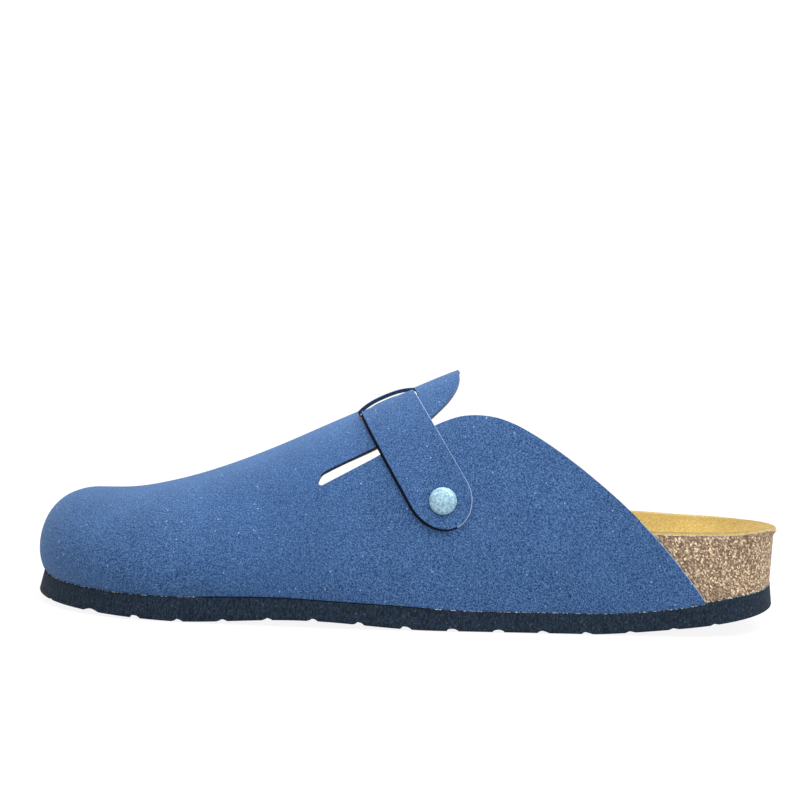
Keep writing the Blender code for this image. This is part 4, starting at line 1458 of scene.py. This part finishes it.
@dataclass
class Bed:
    """Cork footbed, its suede insole and the lines of glue where pieces meet."""

    finishes: Finishes
    upper: UpperForm = field(default_factory=UpperForm)
    toe: float = 6.6
    beside: float = 3.7
    heel: float = 1.5
    waist_heel: float = 0.8
    waist_share: float = 0.93
    base_side: float = 1.2
    waist_side: float = 0.2
    rim_overhang: float = 0.6
    shows_from: float = 242.0
    shows_fully: float = 264.0
    toe_fit_from: float = 30.0
    toe_fit_fully: float = 58.0
    dish_power: float = 3.4
    insole_thickness: float = 1.4
    insole_crease: float = 60.0
    edge_profile: tuple[tuple[float, float], ...] = ((1.5, -0.02), (1.0, -0.15), (0.6, 0.06))
    edge_room: float = 0.8
    edge_steps: int = 6
    edge_bow: float = 0.25
    clearance: float = 0.4
    stations: int = 150
    columns: int = 30
    side_rows: int = 10
    glue_radius: float = 0.42
    edge_radius: float = 0.34
    rim_radius: float = 0.4
    bead_sides: int = 8
    bead_shape: tuple[float, float] = (0.8, 0.5)
    bead_waves: tuple[float, float] = (0.9, 0.37)
    bead_wobble: float = 0.2
    rim_inset: float = 0.1
    tip_step: float = 0.01
    cork_glue_lap: float = 1.0
    rim_glue_from: float = 215.0
    shaded_span: tuple[float, float] = (68.0, 147.0)
    seam_stations: int = 260
    rows: tuple[tuple[float, float, float, float], ...] = (
        (6.6, 18.6, 18.6, 18.6), (20.0, 16.0, 18.8, 19.2), (60.0, 14.8, 20.3, 20.8),
        (100.0, 15.4, 23.0, 24.2), (130.0, 17.8, 26.5, 29.4), (160.0, 20.4, 30.0, 33.2),
        (200.0, 21.8, 33.4, 35.2), (235.0, 22.0, 34.3, 34.9), (256.0, 24.4, 35.2, 34.3),
        (268.0, 29.4, 36.1, 34.4), (275.0, 34.7, 34.7, 34.7))

    @cached_property
    def heights(self) -> tuple[Curve, Curve, Curve]:
        """Heights of the dish: middle, lateral rim, medial rim."""
        along, *rest = zip(*self.rows)
        return tuple(Curve(along, values) for values in rest)

    def side(self, along: Array, side: Side, height: Array, heel: float,
             overhang: float) -> Array:
        """Y of the footbed's side: inside the upper, free behind it.

        Args:
            along: Distances from the toe.
            side: Side of the foot.
            height: Height of the line on the side.
            heel: Setback at the heel.
            overhang: How far it stands out past the sole's outline behind the upper.

        Returns:
            Y of the line.
        """
        sole = self.upper.sole
        own = sole.edge(along, side, self.toe, self.beside, heel)
        shows = sole.edge(along, side, self.toe, -overhang, heel)
        turn = side.value * self.upper.turn_at(along, height)
        inner = (self.upper.point(along, turn)[..., 1]
                 - side.value * (self.upper.wall + self.clearance))
        inside = own + (inner - own) * ramp(along, self.toe_fit_from, self.toe_fit_fully)
        return inside + (shows - inside) * ramp(along, self.shows_from, self.shows_fully)

    @cached_property
    def plan_shares(self) -> Array:
        """Shares of the length, close together at the round ends."""
        return crowded(self.stations)

    def dish(self, lift: float) -> Array:
        """Grid of the dish, lifted off it.

        Args:
            lift: Height over the cork.

        Returns:
            Points by station and column.
        """
        along = self.toe + self.plan_shares * (self.upper.sole.length - self.toe)
        middle, *rims = (curve(along) for curve in self.heights)
        edges = [self.side(along, side, rim + lift, 0.0, self.rim_overhang)
                 for side, rim in zip(Side, rims)]
        across = np.linspace(-1.0, 1.0, self.columns + 1)
        share = (across + 1.0) / 2.0
        y = edges[0][:, None] * (1.0 - share) + edges[1][:, None] * share
        rim = np.where(across < 0.0, rims[0][:, None], rims[1][:, None])
        height = middle[:, None] + (rim - middle[:, None]) * np.abs(across) ** self.dish_power
        return self.upper.sole.place(along[:, None], y, height + lift)

    def flank(self, side: Side, top: Array) -> Array:
        """Grid of one side of the cork, drawn in under its rim and straight below.

        Args:
            side: Side of the foot.
            top: Points of the rim on that side.

        Returns:
            Points by station, from the rim down.
        """
        sole = self.upper.sole
        reach = sole.length - self.toe
        lines = [top]
        waist_along = self.toe + self.plan_shares * (reach - self.waist_heel)
        base_along = self.toe + self.plan_shares * (reach - self.heel)
        base = sole.feather(base_along)
        waist = base + (top[:, 2] - base) * self.waist_share
        for along, height, heel, overhang in (
                (waist_along, waist, self.waist_heel, -self.waist_side),
                (base_along, base, self.heel, -self.base_side)):
            lines.append(sole.place(along, self.side(along, side, height, heel, overhang),
                                    height))
        rows = [lines[0], (lines[0] + lines[1]) / 2.0]
        for t in np.linspace(0.0, 1.0, self.side_rows):
            rows.append(lines[1] + (lines[2] - lines[1]) * t)
        return np.stack(rows, axis=1)

    def cork(self) -> bpy.types.Object:
        """Build the cork."""
        top = self.dish(0.0)
        medial = self.flank(Side.MEDIAL, top[:, -1])
        lateral = self.flank(Side.LATERAL, top[:, 0])
        sheet = Sheet()
        sheet.patch(np.concatenate([top, medial[:, 1:], lateral[:, :0:-1]], axis=1), around=True)
        return settle(sheet.piece("cork_footbed", (self.finishes.cork,)))

    def insole(self) -> bpy.types.Object:
        """Build the insole, with a crease beside its rounded cut edge."""
        gap, thick = self.upper.sole.gap, self.insole_thickness
        bed, above, below = self.dish(0.0), self.dish(gap + thick), self.dish(gap)
        narrower = np.abs(bed[..., 1]) < np.abs(above[..., 1])
        above[..., 1] = np.where(narrower, bed[..., 1], above[..., 1])
        below[..., 1] = above[..., 1]
        sheet = Sheet()
        sheet.patch(above[:, 1:-1])
        floor = []
        for column, inner, sign in ((-1, -2, -1.0), (0, 1, 1.0)):
            edge, lower = above[:, column], below[:, column]
            out = unit(np.gradient(edge, axis=0)[:, [1, 0]] * (-sign, sign))
            width = np.linalg.norm(edge - above[:, inner], axis=1)
            rows = []
            for share_in, raised in self.edge_profile:
                inside = np.minimum(share_in, self.edge_room * width)
                row = edge + (above[:, inner] - edge) * (inside / np.maximum(width, TINY))[:, None]
                row[:, 2] += raised
                rows.append(row)
            for t in np.linspace(0.0, 1.0, self.edge_steps)[1:]:
                row = edge + (lower - edge) * t
                row[:, :2] -= out * self.edge_bow * (1.0 - math.sin(math.pi * t))
                rows.append(row)
            floor.append(rows[-1])
            crease = np.stack([above[:, inner], rows[0], rows[1]], axis=1)
            band = np.stack(rows[1:], axis=1)
            flip = 1 if column == -1 else -1
            # the crease gets a darker painted shade
            sheet.patch(crease[:, ::flip], InsoleFace.CREASE.value)
            sheet.patch(band[:, ::flip], InsoleFace.EDGE.value)
        lower = np.concatenate([floor[0][:, None], below[:, -2:0:-1], floor[1][:, None]], axis=1)
        sheet.patch(lower)
        f = self.finishes
        piece = sheet.piece("suede_insole", (f.insole, f.insole_edge, f.insole_crease))
        return settle(piece, self.insole_crease)

    def seam_line(self, start: float, end: float,
                  edge: Callable[[Array, Side], tuple[Array, Array]]) -> Array:
        """Line round the toe or the heel where two pieces meet.

        Args:
            start: Distance along at which the line starts on either side.
            end: Distance along at its round end.
            edge: Gives Y and height of the line on a side.

        Returns:
            Rows of X, Y, Z from the lateral to the medial side.
        """
        along = end + (start - end) * np.linspace(1.0, 0.0, self.seam_stations) ** 2
        sides = [self.upper.sole.place(along, *edge(along, side)) for side in Side]
        return np.concatenate([sides[0], sides[1][-2::-1]])

    def seam(self, name: str, line: Array, radius: float, finish: bpy.types.Material,
             shaded: tuple[float, float] = (0.0, 0.0)) -> bpy.types.Object:
        """Uneven bead of glue along a line.

        Args:
            name: Name of the piece.
            line: Points of the bead's middle.
            radius: Size of the bead.
            finish: Its material.
            shaded: Distances along between which the bead carries near-black painted shade.

        Returns:
            The bead.
        """
        tangent = unit(np.gradient(line, axis=0))
        out = np.stack([tangent[:, 1], -tangent[:, 0], 0.0 * tangent[:, 0]], axis=1)
        k = np.arange(len(line))
        quick, slow = self.bead_waves
        wobble = np.sin(k * quick) * np.sin(k * slow + 1.0)
        size = radius * (1.0 - self.bead_wobble * (1.0 - wobble))
        wide, high = self.bead_shape
        up = np.tile((0.0, 0.0, high), (len(line), 1))
        sheet = Sheet()
        sheet.tube(line, out * wide, up, size, self.bead_sides)
        bead = settle(sheet.piece(name, (finish, self.finishes.dark_edge)))
        # faces within the shaded span get the near-black painted shade
        for face in bead.data.polygons:
            along = face.center.x / MM + self.upper.sole.middle
            face.material_index = int(shaded[0] < along < shaded[1])
        return bead

    def glue(self) -> list[bpy.types.Object]:
        """Build the thin broken lines of glue.

        Returns:
            The beads under the cork, under the upper and under the insole's rim.
        """
        sole, upper, half_gap = self.upper.sole, self.upper, self.upper.sole.gap / 2.0
        rims = dict(zip(Side, self.heights[1:]))

        def under_cork(along: Array, side: Side) -> tuple[Array, Array]:
            """Lower edge of the cork."""
            base = sole.feather(along)
            return self.side(along, side, base, self.heel, -self.base_side), base - half_gap

        def under_upper(along: Array, side: Side) -> tuple[Array, Array]:
            """Lower edge of the upper."""
            return upper.lower_edge(along, side), sole.feather(along) - half_gap

        def under_insole(along: Array, side: Side) -> tuple[Array, Array]:
            """Rim of the cork."""
            rim = rims[side](along)
            overhang = self.rim_overhang - self.rim_inset
            return self.side(along, side, rim, 0.0, overhang), rim + half_gap

        end, f = upper.quarter_end, self.finishes
        return [
            self.seam("cork_glue_line", self.seam_line(
                end - self.cork_glue_lap, sole.length - self.heel, under_cork),
                self.glue_radius, f.glue),
            self.seam("upper_glue_line", self.seam_line(
                end, upper.feather_toe + self.tip_step, under_upper), self.edge_radius, f.glue,
                self.shaded_span),
            self.seam("rim_glue_line", self.seam_line(
                self.rim_glue_from, sole.length - self.tip_step, under_insole), self.rim_radius,
                f.rim_glue)]

    def build(self) -> list[bpy.types.Object]:
        """Build the bed.

        Returns:
            Cork, insole and glue lines.
        """
        return [take(self.cork(), "footbed"),
                take(self.insole(), "insole"),
                *(take(bead) for bead in self.glue())]


@dataclass
class Outsole:
    """Foam sole with a wavy cross tread."""

    finishes: Finishes
    form: SoleForm = field(default_factory=SoleForm)
    toe: float = 1.2
    top_toe: float = 2.6
    top_side: float = 1.2
    heel: float = 0.6
    top_heel: float = 1.3
    edge_round: float = 0.8
    edge_share: float = 0.1
    groove_first: float = 13.0
    groove_pitch: float = 15.5
    groove_count: int = 16
    groove_width: float = 4.2
    groove_depth: float = 1.0
    groove_below: float = 1.0
    groove_steps: int = 7
    wave: float = 3.0
    wave_length: float = 25.0
    groove_reach: float = 56.0
    groove_segments: int = 72
    crease: float = 35.0
    stations: int = 150
    round_rows: int = 4
    side_rows: int = 6

    def rings(self) -> list[tuple[float, float, float, float]]:
        """Setbacks at toe, side and heel, and share of the height, from the tread up."""
        rings = []
        for angle in np.linspace(0.0, math.pi / 2.0, self.round_rows):
            inset = self.edge_round * (1.0 - math.sin(angle))
            rings.append((self.toe + inset, inset, self.heel + inset,
                          self.edge_share * (1.0 - math.cos(angle))))
        for t in np.linspace(0.0, 1.0, self.side_rows + 1)[1:]:
            rings.append((self.toe + (self.top_toe - self.toe) * t, self.top_side * t,
                          self.heel + (self.top_heel - self.heel) * t,
                          self.edge_share + (1.0 - self.edge_share) * t))
        return rings

    def body(self) -> bpy.types.Object:
        """Build the sole before its tread is cut."""
        shares = crowded(self.stations)
        sides: dict[Side, list[Array]] = {side: [] for side in Side}
        for toe, beside, heel, above in self.rings():
            along = toe + shares * (self.form.length - toe - heel)
            for side in Side:
                sides[side].append(self.form.place(
                    along, self.form.edge(along, side, toe, beside, heel),
                    self.form.height(along, above)))
        grid = np.stack(sides[Side.LATERAL][::-1] + sides[Side.MEDIAL], axis=1)
        sheet = Sheet()
        sheet.patch(grid, around=True)
        return sheet.piece("foam_outsole", (self.finishes.foam,))

    def cutter(self) -> bpy.types.Object:
        """Build the wavy bars that cut the grooves."""
        y = np.linspace(-self.groove_reach, self.groove_reach, self.groove_segments + 1)
        wave = self.wave * np.sin(2.0 * math.pi * y / self.wave_length)
        half = self.groove_width / 2.0
        corners = [(-half, -self.groove_below), (half, -self.groove_below)] + [
            (half * math.cos(turn), self.groove_depth * math.sin(turn))
            for turn in np.linspace(0.0, math.pi, self.groove_steps)]
        sheet = Sheet()
        for groove in range(self.groove_count):
            middle = self.groove_first + groove * self.groove_pitch
            rows = [self.form.place(middle + wave + across, y,
                                    self.form.height(middle + across, 0.0) + above)
                    for across, above in corners]
            bar = np.stack(rows, axis=1)
            ends = [np.repeat(bar[[i]].mean(axis=1, keepdims=True), len(corners), axis=1)
                    for i in (0, -1)]
            sheet.patch(np.concatenate([ends[0], bar, ends[1]]), around=True)
        return sheet.piece("tread_bars", ())

    def build(self) -> list[bpy.types.Object]:
        """Build the outsole.

        Returns:
            Its one piece.
        """
        piece, bars = self.body(), self.cutter()
        tread = piece.modifiers.new("tread", "BOOLEAN")
        tread.operation = "DIFFERENCE"
        tread.solver = "EXACT"
        tread.object = bars
        settle(piece, self.crease)
        bpy.data.objects.remove(bars)
        return [take(piece, "outsole")]


@dataclass
class Studio:
    """Camera at the photograph's angle, pale floor and soft light."""

    eye: tuple[float, float, float] = (-3.63, -440.0, 82.0)
    pitch: float = -0.0099
    roll: float = 0.0384
    focal_pixels: float = 1159.9
    frame_pixels: float = 800.0
    sensor_width: float = 36.0
    clip_start: float = 0.01
    floor_size: float = 60.0
    floor_drop: float = 0.2
    floor_tones: tuple[float, float] = (0.115, 0.125)
    floor_mottle: float = 40.0
    floor_glow: float = 0.895
    side_light: float = 0.80
    top_light: float = 2.0
    toe_light: float = 0.60
    heel_light: float = 1.2
    rise_from: float = 0.25
    rise_to: float = 0.95
    seen_light: float = 1.1
    lamp_aim: tuple[float, float, float] = (0.0, 0.0, 0.04)
    lamps: tuple[tuple[str, tuple[float, float, float], float, float], ...] = (
        ("key", (0.55, -0.35, 1.05), 0.6, 5.0), ("back", (0.10, 0.80, 0.90), 0.8, 3.0),
        ("top", (0.0, -0.12, 0.44), 0.3, 0.65))

    def camera(self) -> None:
        """Set the camera."""
        data = bpy.data.cameras.new("camera")
        data.sensor_width = self.sensor_width
        data.lens = self.sensor_width * self.focal_pixels / self.frame_pixels
        data.clip_start = self.clip_start
        camera = bpy.data.objects.new("camera", data)
        aim = (Matrix.Rotation(math.pi / 2.0 + self.pitch, 4, "X")
               @ Matrix.Rotation(self.roll, 4, "Z"))
        camera.matrix_world = Matrix.Translation(Vector(self.eye) * MM) @ aim
        bpy.context.scene.collection.objects.link(camera)
        bpy.context.scene.camera = camera

    def floor(self) -> None:
        """Lay the floor."""
        half = self.floor_size / 2.0
        mesh = bpy.data.meshes.new("floor")
        mesh.from_pydata([(-half, -half, 0.0), (half, -half, 0.0), (half, half, 0.0),
                          (-half, half, 0.0)], [], [(0, 1, 2, 3)])
        s = Shader("pale_floor")
        dark, light = ((tone,) * 3 for tone in self.floor_tones)
        s.link("Base Color", s.ramp(s.noise(self.floor_mottle, 3.0), (0.3, dark), (0.7, light)))
        s.set(Roughness=1.0, Specular_IOR_Level=0.0, Emission_Color=(1.0, 1.0, 1.0),
              Emission_Strength=self.floor_glow)
        mesh.materials.append(s.material)
        floor = bpy.data.objects.new("floor", mesh)
        floor.location.z = -self.floor_drop * MM
        bpy.context.scene.collection.objects.link(floor)

    def area(self, name: str, at: tuple[float, float, float], size: float,
             power: float) -> None:
        """Hang a square soft box that faces the shoe.

        Args:
            name: Name of the light.
            at: Its place, in metres.
            size: Edge length, in metres.
            power: Watts.
        """
        data = bpy.data.lights.new(name, "AREA")
        data.shape = "SQUARE"
        data.size = size
        data.energy = power
        lamp = bpy.data.objects.new(name, data)
        lamp.location = at
        towards = Vector(self.lamp_aim) - Vector(at)
        lamp.rotation_euler = towards.to_track_quat("-Z", "Y").to_euler()
        bpy.context.scene.collection.objects.link(lamp)

    def sky(self) -> None:
        """White surround, brighter overhead for what it lights than at its sides."""
        world = bpy.data.worlds.new("studio")
        bpy.context.scene.world = world
        world.use_nodes = True
        n, white = NodeTree(world.node_tree), (1.0, 1.0, 1.0, 1.0)
        n.tree.nodes.remove(n.tree.nodes["Background"])
        direction = n.node("ShaderNodeTexCoord", {}, "Generated")
        x, z = (n.node("ShaderNodeSeparateXYZ", {"Vector": direction}, axis) for axis in "XZ")
        rise = n.level(z, self.rise_from, self.rise_to, self.side_light, self.top_light,
                       interpolation_type="SMOOTHSTEP")
        across = n.level(x, -1.0, 1.0, self.toe_light, self.heel_light)
        cast = n.node("ShaderNodeBackground", {
            "Color": white, "Strength": n.math("MULTIPLY", rise, across)}, "Background")
        seen = n.node("ShaderNodeBackground", {"Color": white, "Strength": self.seen_light},
                      "Background")
        is_seen = n.node("ShaderNodeLightPath", {}, "Is Camera Ray")
        surface = n.node("ShaderNodeMixShader", {0: is_seen, 1: cast, 2: seen}, "Shader")
        n.tree.links.new(surface, n.tree.nodes["World Output"].inputs["Surface"])

    def build(self) -> None:
        """Set up the studio."""
        self.camera()
        self.floor()
        self.sky()
        for lamp in self.lamps:
            self.area(*lamp)
        view = bpy.context.scene.view_settings
        view.view_transform = "Standard"
        view.look = "None"


def main() -> None:
    """Build the shoe piece by piece from the floor up, then the studio."""
    logging.basicConfig(level=logging.INFO, format="%(name)s: %(message)s")
    finishes = Finishes()
    pieces: list[bpy.types.Object] = []
    for assembly in (Outsole(finishes), Bed(finishes), Upper(finishes), Strap(finishes),
                     Rivet(finishes)):
        pieces += assembly.build()
    Studio().build()


if __name__ == "__main__":
    main()
